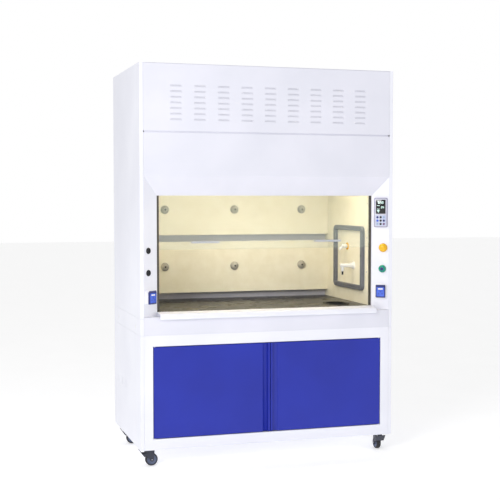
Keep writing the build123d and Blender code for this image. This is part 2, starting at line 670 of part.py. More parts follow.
def front_post(side):
    """Bevelled post with a flange back along the sash track, and its control holes."""
    path = [(-BEVEL_OUTER, RETURN_FLANGE), (-BEVEL_OUTER, 0), (-BEVEL_INNER, BEVEL_DEPTH),
            (-BEVEL_INNER, LINER_FRONT - SEAM)]
    low = LEDGE_HEIGHT + SEAM
    post = prism_z(folded(path, SHEET), low, FASCIA_BOTTOM)
    inner = -BEVEL_INNER + 1
    keep = [(-HALF, low), (inner, low), (inner, mitre_height(inner, -MITRE_GAP)),
            (-HALF, mitre_height(HALF, -MITRE_GAP))]
    post = post & prism_y(keep, -1, LINER_FRONT)
    post -= block(-BEVEL_INNER - 2 * SHEET, -BEVEL_INNER + 1, BEVEL_DEPTH + 2 * SHEET, LINER_FRONT,
                  low - 1, WORKTOP_BOTTOM + TOUCH)
    if side > 0:
        post = mirrored(post)
        holes = [(GAS_KNOB_RUN, GAS_KNOB_HEIGHT, SPINDLE_DIAMETER / 2 + RUNNING),
                 (WATER_KNOB_RUN, WATER_KNOB_HEIGHT, SPINDLE_DIAMETER / 2 + RUNNING)]
    else:
        holes = [(PLUG_RUN, height, PLUG_HOLE / 2 + TOUCH) for height in PLUG_HEIGHTS]
    for run, height, radius in holes:
        plane = bevel_plane(side, run, height)
        post -= extrude(plane * Circle(radius), amount=4 * SHEET, both=True)
    return post


def apron():
    """Flat front below the opening, with a ledge on top and a flange at its foot."""
    path = [(BEVEL_DEPTH, LEDGE_HEIGHT), (0, LEDGE_HEIGHT), (0, SEAM_HEIGHT),
            (RETURN_FLANGE, SEAM_HEIGHT)]
    return prism_x(folded(path, SHEET), -PANEL_HALF, PANEL_HALF)


def airfoil_sill():
    """Folded airfoil: a returned lip, a rounded nose, a top that rises to the worktop, and a foot."""
    low = LEDGE_HEIGHT - SILL_DROP
    face_top = low + SILL_FACE
    rest = LEDGE_HEIGHT + SILL_REST_RISE
    nose = -SILL_NOSE
    path = [(-3, low + 1), (nose + 7, low), (nose + 2, low + 2), (nose, low + 7),
            (nose, face_top - 9), (nose + 3, face_top - 3), (nose + 10, face_top + 1),
            (BEVEL_DEPTH, rest), (BEVEL_DEPTH, LEDGE_HEIGHT)]
    return prism_x(folded(path, -SILL_SHEET), -SILL_HALF, SILL_HALF)


export("hood_sides", *hood_side(), *[mirrored(sheet) for sheet in hood_side()])
export("hood_back", block(-INSIDE, INSIDE, DEPTH - SHEET, DEPTH, SEAM_HEIGHT, TOP - SHEET))
top_sheet = block(-HALF, HALF, 0, DEPTH, TOP - SHEET, TOP)
top_sheet -= bore(SPIGOT_RADIUS + TOUCH, (0, at(SPIGOT_DEPTH), TOP), (0, 0, 1), 4 * SHEET)
export("hood_top", top_sheet)
export("louvre_panel", louvre_panel())
export("front_fascia", front_fascia())
export("front_posts", front_post(-1), front_post(1))
export("apron", apron())
export("airfoil_sill", airfoil_sill())


# Work chamber
def worktop_rail(front_depth, turn):
    """Folded channel between the hood's sides, under the worktop's front or back edge."""
    back_depth = front_depth + RAIL_DEPTH
    web, open_side = (front_depth, back_depth) if turn > 0 else (back_depth, front_depth)
    low = WORKTOP_BOTTOM - RAIL_HEIGHT
    path = [(open_side, WORKTOP_BOTTOM), (web, WORKTOP_BOTTOM), (web, low), (open_side, low)]
    return prism_x(folded(path, RAIL_SHEET * turn), -INSIDE, INSIDE)


def sink_outline(inset):
    """Rounded outline of the cup sink, taken in by an inset."""
    return RectangleRounded(SINK_WIDTH - 2 * inset, SINK_LENGTH - 2 * inset, SINK_CORNER - inset)


def cup_sink():
    """Oval cup with a rim on the worktop, a perforated floor and a tail pipe."""
    centre = Pos(SINK_X, at(SINK_DEPTH), 0)
    floor = WORKTOP_TOP - SINK_BOWL_DEPTH
    sink = extrude(Pos(0, 0, WORKTOP_TOP) * sink_outline(0), amount=SINK_RIM_THICKNESS)
    sink += extrude(Pos(0, 0, floor) * sink_outline(SINK_RIM), amount=SINK_BOWL_DEPTH)
    hollow = Pos(0, 0, floor + SINK_GRID_THICKNESS) * sink_outline(SINK_RIM + SINK_WALL)
    sink -= extrude(hollow, amount=SINK_BOWL_DEPTH + SINK_RIM_THICKNESS)
    tail_end = floor - SINK_TAIL_LENGTH
    tail = rod(SINK_TAIL_DIAMETER / 2, (0, 0, tail_end), (0, 0, floor))
    tail -= rod(SINK_TAIL_DIAMETER / 2 - SINK_WALL, (0, 0, tail_end), (0, 0, floor))
    sink += tail
    for turn in range(6):
        angle = math.radians(60 * turn)
        spot = (SINK_GRID_CIRCLE / 2 * math.cos(angle), SINK_GRID_CIRCLE / 2 * math.sin(angle), floor)
        sink -= bore(SINK_GRID_HOLE / 2, spot, (0, 0, 1), 4 * SINK_GRID_THICKNESS)
    return centre * sink


def inner_side():
    """Left inner side panel, which also carries the ends of the two pulley shafts."""
    panel = block(-LINER_OUTER, -LINER_INNER, LINER_FRONT, REAR_WALL_DEPTH, WORKTOP_BOTTOM,
                  INNER_PANEL_TOP)
    for depth in (FRONT_SHAFT_DEPTH, REAR_SHAFT_DEPTH):
        centre = (-LINER_INNER, at(depth), SHAFT_HEIGHT)
        panel -= bore(SHAFT_DIAMETER / 2 + RUNNING, centre, (1, 0, 0), 4 * LINER_THICKNESS)
    return panel


def window_outline(inset):
    """Rounded rectangle of the access panel's gasket, on the right inner panel's face."""
    middle = ((WINDOW_FRONT + WINDOW_BACK) / 2, (WINDOW_BOTTOM + WINDOW_TOP) / 2)
    plane = Plane(origin=(LINER_INNER, at(middle[0]), middle[1]), x_dir=(0, 1, 0), z_dir=(1, 0, 0))
    length = WINDOW_BACK - WINDOW_FRONT - 2 * inset
    height = WINDOW_TOP - WINDOW_BOTTOM - 2 * inset
    return plane * RectangleRounded(length, height, GASKET_CORNER - inset)


def window_gasket():
    """Rubber band that covers the joint between the panel and its opening."""
    band = extrude(window_outline(0), amount=-GASKET_STAND)
    band -= extrude(window_outline(GASKET_BAND), amount=-GASKET_STAND)
    return chamfer(band.faces().sort_by(Axis.X)[0].edges(), GASKET_ROUND)


def baffle(low, high, knob_height):
    """Baffle sheet with three stud holes."""
    sheet = block(-LINER_INNER, LINER_INNER, BAFFLE_DEPTH, BAFFLE_DEPTH + LINER_THICKNESS, low, high)
    for x in (-KNOB_OFFSET, 0, KNOB_OFFSET):
        centre = (x, at(BAFFLE_DEPTH), knob_height)
        sheet -= bore(STUD_DIAMETER / 2 + TOUCH, centre, (0, 1, 0), 4 * LINER_THICKNESS)
    return sheet


def rear_wall():
    """Rear wall with the six bonded spacers that hold the baffles off it."""
    wall = block(-LINER_OUTER, LINER_OUTER, REAR_WALL_DEPTH, REAR_WALL_DEPTH + LINER_THICKNESS,
                 WORKTOP_BOTTOM, CEILING_HEIGHT + CEILING_THICKNESS)
    face = at(BAFFLE_DEPTH + LINER_THICKNESS)
    wall_face = at(REAR_WALL_DEPTH)
    for z in (UPPER_KNOB_HEIGHT, LOWER_KNOB_HEIGHT):
        for x in (-KNOB_OFFSET, 0, KNOB_OFFSET):
            wall += rod(SPACER_DIAMETER / 2, (x, face, z), (x, wall_face, z))
            wall -= bore(STUD_DIAMETER / 2 + TOUCH, (x, face, z), (0, 1, 0), 120)
    return wall


def baffle_knob(x, z):
    """Lobed thumb knob with a domed nose, a small cap and its stud."""
    face = at(BAFFLE_DEPTH)
    radius = BAFFLE_KNOB_DIAMETER / 2

    def level(height):
        return Plane(origin=(x, face - height, z), z_dir=(0, -1, 0))

    disc = Circle(radius)
    for turn in range(BAFFLE_KNOB_LOBES):
        angle = math.radians(360 * (turn + 0.5) / BAFFLE_KNOB_LOBES)
        spot = radius + 6
        disc -= Pos(spot * math.cos(angle), spot * math.sin(angle)) * Circle(8)
    knob = level(0) * extrude(disc, amount=10)
    knob += loft([level(10) * Circle(radius * 0.88), level(16) * Circle(radius * 0.64)])
    knob += loft([level(16) * Circle(radius * 0.64), level(BAFFLE_KNOB_LENGTH - 0.5) * Circle(radius * 0.32)])
    knob += level(0) * extrude(Circle(BAFFLE_KNOB_CAP / 2), amount=BAFFLE_KNOB_LENGTH)
    return knob + rod(STUD_DIAMETER / 2, (x, face, z), (x, at(REAR_WALL_DEPTH + LINER_THICKNESS - 1), z))


def chamber_ceiling():
    """Ceiling with a lamp opening and the exhaust slot over the plenum."""
    sheet = block(-LINER_INNER, LINER_INNER, CEILING_FRONT, REAR_WALL_DEPTH, CEILING_HEIGHT,
                  CEILING_HEIGHT + CEILING_THICKNESS)
    sheet -= block(-LAMP_LENGTH / 2, LAMP_LENGTH / 2, LAMP_FRONT, LAMP_FRONT + LAMP_WIDTH,
                   CEILING_HEIGHT - 1, CEILING_HEIGHT + CEILING_THICKNESS + 1)
    slot_front = BAFFLE_DEPTH + LINER_THICKNESS + PLENUM_SLOT_MARGIN
    slot_back = REAR_WALL_DEPTH - PLENUM_SLOT_MARGIN
    sheet -= block(-PLENUM_SLOT_WIDTH / 2, PLENUM_SLOT_WIDTH / 2, slot_front, slot_back,
                   CEILING_HEIGHT - 1, CEILING_HEIGHT + CEILING_THICKNESS + 1)
    return sheet


def lamp_unit():
    """Sealed lamp: a lens in the ceiling's opening and a housing on top with sloping sides."""
    half, gap = LAMP_LENGTH / 2, TOUCH
    top = CEILING_HEIGHT + CEILING_THICKNESS
    lens = block(-half + gap, half - gap, LAMP_FRONT + gap, LAMP_FRONT + LAMP_WIDTH - gap,
                 CEILING_HEIGHT, top)
    front, back = LAMP_FRONT - LAMP_RIM, LAMP_FRONT + LAMP_WIDTH + LAMP_RIM
    outline = [(front, top), (front, top + 4), (front + 30, top + LAMP_HEIGHT),
               (back - 30, top + LAMP_HEIGHT), (back, top + 4), (back, top)]
    return lens + prism_x(outline, -half - LAMP_RIM, half + LAMP_RIM)


worktop = block(-LINER_INNER + TOUCH, LINER_INNER - TOUCH, WORKTOP_FRONT, REAR_WALL_DEPTH,
                WORKTOP_BOTTOM, WORKTOP_TOP)
worktop = fillet(worktop.edges().group_by(Axis.Y)[0].sort_by(Axis.Z)[-1], 4)
sink_hole = Pos(SINK_X, at(SINK_DEPTH), WORKTOP_BOTTOM) * sink_outline(SINK_RIM - SINK_CLEARANCE)
export("worktop", worktop - extrude(sink_hole, amount=2 * WORKTOP_THICKNESS))
export("worktop_rails", worktop_rail(BEVEL_DEPTH + 5, 1),
       worktop_rail(DEPTH - SHEET - RAIL_DEPTH - RAIL_INSET, -1))
export("cup_sink", cup_sink())
export("left_liner", inner_side())
export("right_liner", mirrored(inner_side())
       - extrude(window_outline(GASKET_BAND / 2), amount=2 * LINER_THICKNESS, both=True))
export("access_panel", extrude(window_outline(GASKET_BAND / 2 + PANEL_CLEARANCE),
                               amount=LINER_THICKNESS))
export("window_gasket", window_gasket())
export("rear_wall", rear_wall())
export("upper_baffle", baffle(UPPER_BAFFLE_BOTTOM, UPPER_BAFFLE_TOP, UPPER_KNOB_HEIGHT))
export("lower_baffle", baffle(LOWER_BAFFLE_BOTTOM, LOWER_BAFFLE_TOP, LOWER_KNOB_HEIGHT))
export("baffle_knobs", *[baffle_knob(x, z) for z in (UPPER_KNOB_HEIGHT, LOWER_KNOB_HEIGHT)
                         for x in (-KNOB_OFFSET, 0, KNOB_OFFSET)])
export("chamber_ceiling", chamber_ceiling())
export("lamp_unit", lamp_unit())


# Service fittings on the access panel
def gas_nozzle():
    """Wall flange, body and a ribbed hose barb that droops."""
    x, y, z = LINER_INNER, at(NOZZLE_DEPTH), NOZZLE_HEIGHT
    nozzle = rod(FLANGE_RADIUS, (x, y, z), (x - FLANGE_THICKNESS, y, z))
    nozzle += rod(12, (x - FLANGE_THICKNESS, y, z), (x - NOZZLE_BODY, y, z))
    elbow = (x - NOZZLE_BODY + 8, y, z)
    droop = Vector(-1, 0, -0.9).normalized()
    nozzle += rod(7, elbow, tuple(Vector(*elbow) + droop * BARB_LENGTH))
    for step in (16, 23):
        start = Vector(*elbow) + droop * step
        plane = Plane(origin=start, z_dir=droop)
        end = Plane(origin=start + droop * 6, z_dir=droop)
        nozzle += loft([plane * Circle(9), end * Circle(6.5)])
    return nozzle


def water_tap():
    """Wall flange and collar, a level tube closed at its end, and the outlet that hangs under it."""
    x, y, z = LINER_INNER, at(TAP_DEPTH), TAP_HEIGHT
    tap = rod(TAP_PIPE / 2, (x, y, z), (x - TAP_REACH, y, z))
    tap += rod(FLANGE_RADIUS + 1.5, (x, y, z), (x - FLANGE_THICKNESS - 2, y, z))
    tap += rod(16, (x - FLANGE_THICKNESS, y, z), (x - 26, y, z))
    spout = x - SPOUT_REACH
    tap += rod(SPOUT_DIAMETER / 2, (spout, y, z), (spout, y, z - SPOUT_DROP))
    return tap + rod(6, (spout, y, z - SPOUT_DROP), (spout, y, z - SPOUT_DROP - SPOUT_TIP))


export("gas_nozzle", gas_nozzle())
export("water_tap", water_tap())


# Sash, its tracks and its balance
def sash_track():
    """Left track: a channel whose slot faces the glass."""
    outer = -(LINER_INNER + TRACK_WIDTH)
    inner_front = GLASS_DEPTH - TRACK_CLEARANCE
    inner_back = GLASS_DEPTH + GLASS_THICKNESS + TRACK_CLEARANCE
    front, back = inner_front - TRACK_WALL, inner_back + TRACK_WALL
    path = [(-LINER_INNER, front), (outer, front), (outer, back), (-LINER_INNER, back)]
    return prism_z(folded(path, -TRACK_WALL), WORKTOP_BOTTOM, TRACK_TOP)


def sash_handle(x):
    """Folded pull: a flange on the glass, a shelf and a lip to curl the fingers behind."""
    top = HANDLE_BOTTOM + HANDLE_HEIGHT
    path = [(GLASS_DEPTH, HANDLE_BOTTOM), (GLASS_DEPTH, top), (GLASS_DEPTH - HANDLE_REACH, top),
            (GLASS_DEPTH - HANDLE_REACH, top - HANDLE_LIP)]
    return prism_x(folded(path, HANDLE_WALL), x - HANDLE_LENGTH / 2, x + HANDLE_LENGTH / 2)


def sash_top_rail():
    """Channel over the glass's top edge, with an ear on each end for the cable."""
    low = GLASS_TOP - TOP_RAIL_GRIP
    front = GLASS_DEPTH - TOP_RAIL_WALL
    back = GLASS_DEPTH + GLASS_THICKNESS + TOP_RAIL_WALL
    rail = block(-TOP_RAIL_HALF, TOP_RAIL_HALF, front, back, low, TOP_RAIL_TOP)
    return rail - block(-TOP_RAIL_HALF - 1, TOP_RAIL_HALF + 1, GLASS_DEPTH,
                        GLASS_DEPTH + GLASS_THICKNESS, low - 1, GLASS_TOP)


def sash_cable(x):
    """Steel cable from the sash over both pulleys to the counterweight."""
    top = SHAFT_HEIGHT + CABLE_RADIUS
    y0, y1 = at(GLASS_MIDDLE), at(COUNTERWEIGHT_DEPTH)
    points = [(x, y0, TOP_RAIL_TOP), (x, y0, top), (x, y1, top), (x, y1, COUNTERWEIGHT_TOP)]
    path = FilletPolyline(*points, radius=CABLE_RADIUS)
    return sweep(Plane(origin=points[0], z_dir=(0, 0, 1)) * Circle(CABLE_DIAMETER / 2), path=path)


def pulley_shaft(depth):
    """Cross shaft with a grooved pulley keyed on near each end."""
    y, z = at(depth), SHAFT_HEIGHT
    shaft = rod(SHAFT_DIAMETER / 2, (-LINER_OUTER, y, z), (LINER_OUTER, y, z))
    half = PULLEY_WIDTH / 2
    groove = CABLE_DIAMETER / 2 + TOUCH
    outline = [(SHAFT_DIAMETER / 2 - 1, -half), (PULLEY_RIM, -half), (PULLEY_RIM, -half + 1.5),
               (PULLEY_GROOVE, -groove), (PULLEY_GROOVE, groove), (PULLEY_RIM, half - 1.5),
               (PULLEY_RIM, half), (SHAFT_DIAMETER / 2 - 1, half)]
    face = make_face(Polyline(*[(r, 0, h) for r, h in outline], close=True))
    pulley = revolve(face, axis=Axis.Z)
    for x in (-CABLE_OFFSET, CABLE_OFFSET):
        shaft += Pos(x, y, z) * Rot(0, 90, 0) * pulley
    return shaft


export("sash_tracks", sash_track(), mirrored(sash_track()))
export("sash_glass", block(-GLASS_HALF, GLASS_HALF, GLASS_DEPTH, GLASS_DEPTH + GLASS_THICKNESS,
                           GLASS_BOTTOM, GLASS_TOP))
export("sash_handles", sash_handle(-HANDLE_OFFSET), sash_handle(HANDLE_OFFSET))
export("sash_top_rail", sash_top_rail())
export("sash_cables", sash_cable(-CABLE_OFFSET), sash_cable(CABLE_OFFSET))
export("front_pulley_shaft", pulley_shaft(FRONT_SHAFT_DEPTH))
export("rear_pulley_shaft", pulley_shaft(REAR_SHAFT_DEPTH))
weight_front = COUNTERWEIGHT_DEPTH - COUNTERWEIGHT_THICKNESS / 2
export("counterweight", block(-COUNTERWEIGHT_LENGTH / 2, COUNTERWEIGHT_LENGTH / 2, weight_front,
                              weight_front + COUNTERWEIGHT_THICKNESS,
                              COUNTERWEIGHT_TOP - COUNTERWEIGHT_HEIGHT, COUNTERWEIGHT_TOP))


# Controls on the posts
def socket_body(side):
    """Wall box with a raised face, and two ears that hold the lid's hinge pin."""
    back = bevel_plane(side, SOCKET_RUN, SOCKET_HEIGHT)
    body = extrude(back * RectangleRounded(SOCKET_WIDTH, SOCKET_TALL, 5), amount=SOCKET_BODY_STAND)
    body = chamfer(body.faces().sort_by(Axis((0, 0, 0), back.z_dir))[-1].edges(), 1.5)
    pin_up = SOCKET_TALL / 2 - LID_BARREL / 2
    pin_out = SOCKET_BODY_STAND + LID_BARREL / 2 + TOUCH
    for end in (-1, 1):
        ear = LID_WIDTH / 2 + TOUCH + 1.5
        lug = Pos(end * ear, pin_up, SOCKET_BODY_STAND + LID_BARREL / 2) * Box(3, LID_BARREL, LID_BARREL)
        body += back * lug
    reach = LID_WIDTH / 2 + 2
    body += back * (Pos(0, pin_up, pin_out) * Rot(0, 90, 0) * Cylinder(LID_PIN / 2, 2 * reach))
    return body


def socket_lid(side):
    """Domed cover, open at the back, with a barrel along its top edge."""
    face = SOCKET_BODY_STAND + TOUCH
    plane = bevel_plane(side, SOCKET_RUN, SOCKET_HEIGHT)
    pin_up = SOCKET_TALL / 2 - LID_BARREL / 2
    pin_out = face + LID_BARREL / 2
    drop = pin_up - LID_TALL
    centre = (pin_up + drop) / 2
    outer = Pos(0, centre, face) * RectangleRounded(LID_WIDTH, LID_TALL, 4)
    lid = extrude(outer, amount=LID_STAND)
    lid = chamfer(lid.faces().sort_by(Axis.Z)[-1].edges(), 2.5)
    inner = Pos(0, centre, face) * RectangleRounded(LID_WIDTH - 2 * LID_WALL,
                                                   LID_TALL - 2 * LID_WALL - LID_BARREL, 3)
    lid -= extrude(inner, amount=LID_STAND - LID_WALL)
    lid += Pos(0, pin_up, pin_out) * Rot(0, 90, 0) * Cylinder(LID_BARREL / 2, LID_WIDTH)
    lid -= Pos(0, pin_up, pin_out) * Rot(0, 90, 0) * Cylinder(LID_PIN / 2 + RUNNING, LID_WIDTH + 2)
    return plane * lid


def valve_knob(run, height, diameter):
    """Fluted hand knob with a domed face and its spindle through the post."""
    plane = bevel_plane(1, run, height)
    radius = diameter / 2
    outline = Circle(radius)
    for turn in range(8):
        angle = math.radians(45 * turn)
        spot = radius + 5.5
        outline -= Pos(spot * math.cos(angle), spot * math.sin(angle)) * Circle(8)
    knob = extrude(Pos(0, 0, TOUCH) * outline, amount=VALVE_KNOB_LENGTH - 7)
    knob += loft([Pos(0, 0, VALVE_KNOB_LENGTH - 7 + TOUCH) * Circle(radius - 3),
                  Pos(0, 0, VALVE_KNOB_LENGTH) * Circle(radius - 8)])
    knob += Pos(0, 0, TOUCH - 15) * Cylinder(SPINDLE_DIAMETER / 2, 32)
    return plane * knob


def post_plug(height):
    """Snap-in plug: a domed flange with a shallow well, and its stem."""
    plane = bevel_plane(-1, PLUG_RUN, height)
    plug = extrude(Circle(PLUG_FLANGE / 2), amount=PLUG_STAND)
    plug = chamfer(plug.faces().sort_by(Axis.Z)[-1].edges(), PLUG_STAND * 0.6)
    plug -= Pos(0, 0, PLUG_STAND) * Cylinder(PLUG_FLANGE / 4, 2)
    plug += extrude(Circle(PLUG_HOLE / 2), amount=-8)
    return plane * plug


def side_plug(depth):
    """Small white plug in the left side's lower band."""
    x, y, z = -HALF, at(depth), SIDE_PLUG_HEIGHT
    plug = rod(SIDE_PLUG_FLANGE / 2, (x, y, z), (x - SIDE_PLUG_STAND, y, z))
    return plug + rod(SIDE_PLUG_HOLE / 2, (x, y, z), (x + 7, y, z))


def control_panel():
    """Control unit: rounded bezel, sunk display window and nine embossed membrane keys."""
    plane = bevel_plane(1, CONTROL_RUN, CONTROL_HEIGHT)
    unit = extrude(RectangleRounded(CONTROL_WIDTH, CONTROL_TALL, 8), amount=CONTROL_STAND)
    unit = chamfer(unit.faces().sort_by(Axis.Z)[-1].edges(), 1.5)
    window = Pos(0, DISPLAY_RISE, CONTROL_STAND - 1) * Rectangle(DISPLAY_WIDTH, DISPLAY_TALL)
    unit -= extrude(window, amount=2)
    for row in (-1, 0, 1):
        for column in (-1, 0, 1):
            spot = Pos(column * KEY_PITCH_X, row * KEY_PITCH_Z - KEY_CENTRE_DROP, CONTROL_STAND)
            unit += spot * Cylinder(KEY_DIAMETER / 2, 1)
    return plane * unit


export("socket_bodies", socket_body(-1), socket_body(1))
export("left_socket_lid", socket_lid(-1))
export("right_socket_lid", socket_lid(1))
export("gas_knob", valve_knob(GAS_KNOB_RUN, GAS_KNOB_HEIGHT, GAS_KNOB_DIAMETER))
export("water_knob", valve_knob(WATER_KNOB_RUN, WATER_KNOB_HEIGHT, WATER_KNOB_DIAMETER))
side_plugs = [side_plug(depth) for depth in SIDE_PLUG_DEPTHS]
export("hole_plugs", *[post_plug(height) for height in PLUG_HEIGHTS], *side_plugs,
       *[mirrored(plug) for plug in side_plugs])
export("control_panel", control_panel())


# Blower with its volute housing, bladed wheel and motor
IMPELLER_X = SPIRAL_CENTRE_X + SPIRAL_STEP / 2
IMPELLER_Z = SPIRAL_CENTRE_Z + SPIRAL_STEP / 2
BLOWER_FRONT = SPIGOT_DEPTH - BLOWER_WIDTH / 2
BLOWER_BACK = SPIGOT_DEPTH + BLOWER_WIDTH / 2


def volute(inset, top, depth):
    """Spiral outline of four arcs that opens into the upright duct, as a face at a depth."""
    x, z, step = SPIRAL_CENTRE_X, SPIRAL_CENTRE_Z, SPIRAL_STEP
    y = at(depth)
    first = SPIRAL_RADIUS - step - inset
    tongue = math.radians(TONGUE_ANGLE)
    start = (x + first * math.cos(tongue), z + step + first * math.sin(tongue))

    def arc(cx, cz, radius, from_deg, to_deg):
        spots = []
        for angle in (from_deg, (from_deg + to_deg) / 2, to_deg):
            a = math.radians(angle)
            spots.append((cx + radius * math.cos(a), y, cz + radius * math.sin(a)))
        return ThreePointArc(*spots)

    right = x + step + SPIRAL_RADIUS + 2 * step - inset
    edges = [
        arc(x, z + step, first, TONGUE_ANGLE, 90),
        arc(x, z, SPIRAL_RADIUS - inset, 90, 180),
        arc(x + step, z, SPIRAL_RADIUS + step - inset, 180, 270),
        arc(x + step, z + step, SPIRAL_RADIUS + 2 * step - inset, 270, 360),
        Line((right, y, z + step), (right, y, top)),
        Line((right, y, top), (start[0] + inset, y, top)),
    ]
    if inset:
        edges.append(Line((start[0] + inset, y, top), (start[0] + inset, y, start[1])))
        edges.append(Line((start[0] + inset, y, start[1]), (start[0], y, start[1])))
    else:
        edges.append(Line((start[0], y, top), (start[0], y, start[1])))
    return make_face(edges)


def blower_housing():
    """Volute casing with an inlet ring, feet, and a duct that turns round into the spigot."""
    case = extrude(volute(0, DUCT_TOP, BLOWER_FRONT), amount=BLOWER_WIDTH, dir=(0, 1, 0))
    hollow_front = BLOWER_FRONT + BLOWER_WALL
    case -= extrude(volute(BLOWER_WALL, DUCT_TOP + 1, hollow_front),
                    amount=BLOWER_WIDTH - 2 * BLOWER_WALL, dir=(0, 1, 0))
    centre = (IMPELLER_X, at(BLOWER_FRONT), IMPELLER_Z)
    case += bore(INLET_RADIUS + 6, centre, (0, 1, 0), 12)
    case -= bore(INLET_RADIUS, centre, (0, 1, 0), 20)
    motor_side = (IMPELLER_X, at(BLOWER_BACK), IMPELLER_Z)
    case -= bore(MOTOR_SHAFT, motor_side, (0, 1, 0), 20)
    low = CEILING_HEIGHT + CEILING_THICKNESS
    foot_half = SPIRAL_RADIUS * 0.7
    for plate, toe in ((BLOWER_FRONT, BLOWER_FRONT - BLOWER_FOOT),
                       (BLOWER_BACK - BLOWER_WALL, BLOWER_BACK + BLOWER_FOOT - BLOWER_WALL)):
        case += block(IMPELLER_X - foot_half, IMPELLER_X + foot_half, plate, plate + BLOWER_WALL,
                      low, IMPELLER_Z - SPIRAL_RADIUS * 0.95)
        near, far = sorted((plate, toe))
        case += block(IMPELLER_X - foot_half, IMPELLER_X + foot_half, near, far + BLOWER_WALL,
                      low, low + BLOWER_WALL)
    return case + transition() + spigot()


def duct_face(inset, z):
    """Rectangle of the duct's mouth."""
    tongue = math.radians(TONGUE_ANGLE)
    left = SPIRAL_CENTRE_X + (SPIRAL_RADIUS - SPIRAL_STEP) * math.cos(tongue) + inset
    right = SPIRAL_CENTRE_X + SPIRAL_RADIUS + 3 * SPIRAL_STEP - inset
    width = right - left
    return Pos((left + right) / 2, at(SPIGOT_DEPTH), z) * Rectangle(width, BLOWER_WIDTH - 2 * inset)


def transition():
    """Square-to-round hood between the duct and the spigot."""
    spigot_foot = TOP - SHEET - 6
    ring = Pos(0, at(SPIGOT_DEPTH), spigot_foot)
    outer = loft([duct_face(0, DUCT_TOP), ring * Circle(SPIGOT_RADIUS - NECK_STEP)])
    inner = loft([duct_face(BLOWER_WALL, DUCT_TOP), ring * Circle(SPIGOT_RADIUS - SPIGOT_WALL)])
    return outer - inner


def spigot():
    """Round spigot that a duct slips over, through the top sheet."""
    foot, tip = TOP - SHEET - 6, TOP + SPIGOT_HEIGHT
    centre = (0, at(SPIGOT_DEPTH))
    collar = TOP + SPIGOT_WALL
    pipe = rod(SPIGOT_RADIUS - NECK_STEP, (*centre, foot), (*centre, TOP))
    pipe += rod(SPIGOT_RADIUS, (*centre, TOP), (*centre, tip))
    pipe += rod(SPIGOT_FLANGE, (*centre, TOP), (*centre, collar))
    pipe += Pos(*centre, collar + SPIGOT_WELD / 2) * Cone(SPIGOT_RADIUS + SPIGOT_WELD,
                                                         SPIGOT_RADIUS, SPIGOT_WELD)
    return pipe - rod(SPIGOT_RADIUS - SPIGOT_WALL, (*centre, foot), (*centre, tip))


def blower_wheel():
    """Squirrel-cage wheel: back plate, hub and shaft, front ring and forward-curved blades."""
    front = SPIGOT_DEPTH - WHEEL_BODY / 2
    back = SPIGOT_DEPTH + WHEEL_BODY / 2
    y0, y1 = at(front), at(back)
    x, z = IMPELLER_X, IMPELLER_Z
    plate = 2.0
    wheel = rod(WHEEL_OUTER, (x, y1 - plate, z), (x, y1, z))
    ring = rod(WHEEL_OUTER, (x, y0, z), (x, y0 + plate, z))
    wheel += ring - rod(WHEEL_INNER, (x, y0, z), (x, y0 + plate, z))
    wheel += rod(20, (x, y1 - 30, z), (x, y1, z))
    wheel += rod(MOTOR_SHAFT / 2, (x, y1, z), (x, at(BLOWER_BACK) + 60, z))
    root, tip = WHEEL_INNER + 0.5, WHEEL_OUTER - 0.5
    blade = make_face([
        ThreePointArc((root, y0, 0), ((root + tip) / 2, y0, 5), (tip, y0, 14)),
        Line((tip, y0, 14), (tip - 1, y0, 15.5)),
        ThreePointArc((tip - 1, y0, 15.5), ((root + tip) / 2 - 0.5, y0, 6.5), (root, y0, 1.5)),
        Line((root, y0, 1.5), (root, y0, 0)),
    ])
    blade = extrude(blade, amount=y1 - y0, dir=(0, 1, 0))
    turns = [Pos(x, 0, z) * Rot(0, 360 * i / WHEEL_BLADES, 0) * blade for i in range(WHEEL_BLADES)]
    return wheel + turns


def blower_motor():
    """Flange motor with a fan cowl and a terminal box."""
    x, z = IMPELLER_X, IMPELLER_Z
    y0 = at(BLOWER_BACK)
    end = y0 + MOTOR_LENGTH
    motor = rod(MOTOR_FLANGE, (x, y0, z), (x, y0 + 8, z))
    motor += rod(MOTOR_RADIUS, (x, y0 + 8, z), (x, end, z))
    motor = chamfer(motor.faces().sort_by(Axis.Y)[-1].edges(), 8)
    motor += Pos(x, y0 + 60, z + MOTOR_RADIUS) * Box(56, 64, 44)
    return motor - rod(MOTOR_SHAFT / 2 + RUNNING, (x, y0, z), (x, y0 + 62, z))


export("blower_housing", blower_housing())
export("blower_wheel", blower_wheel())
export("blower_motor", blower_motor())
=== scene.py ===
import json
import math

import bmesh
import bpy
from mathutils import Matrix, Vector

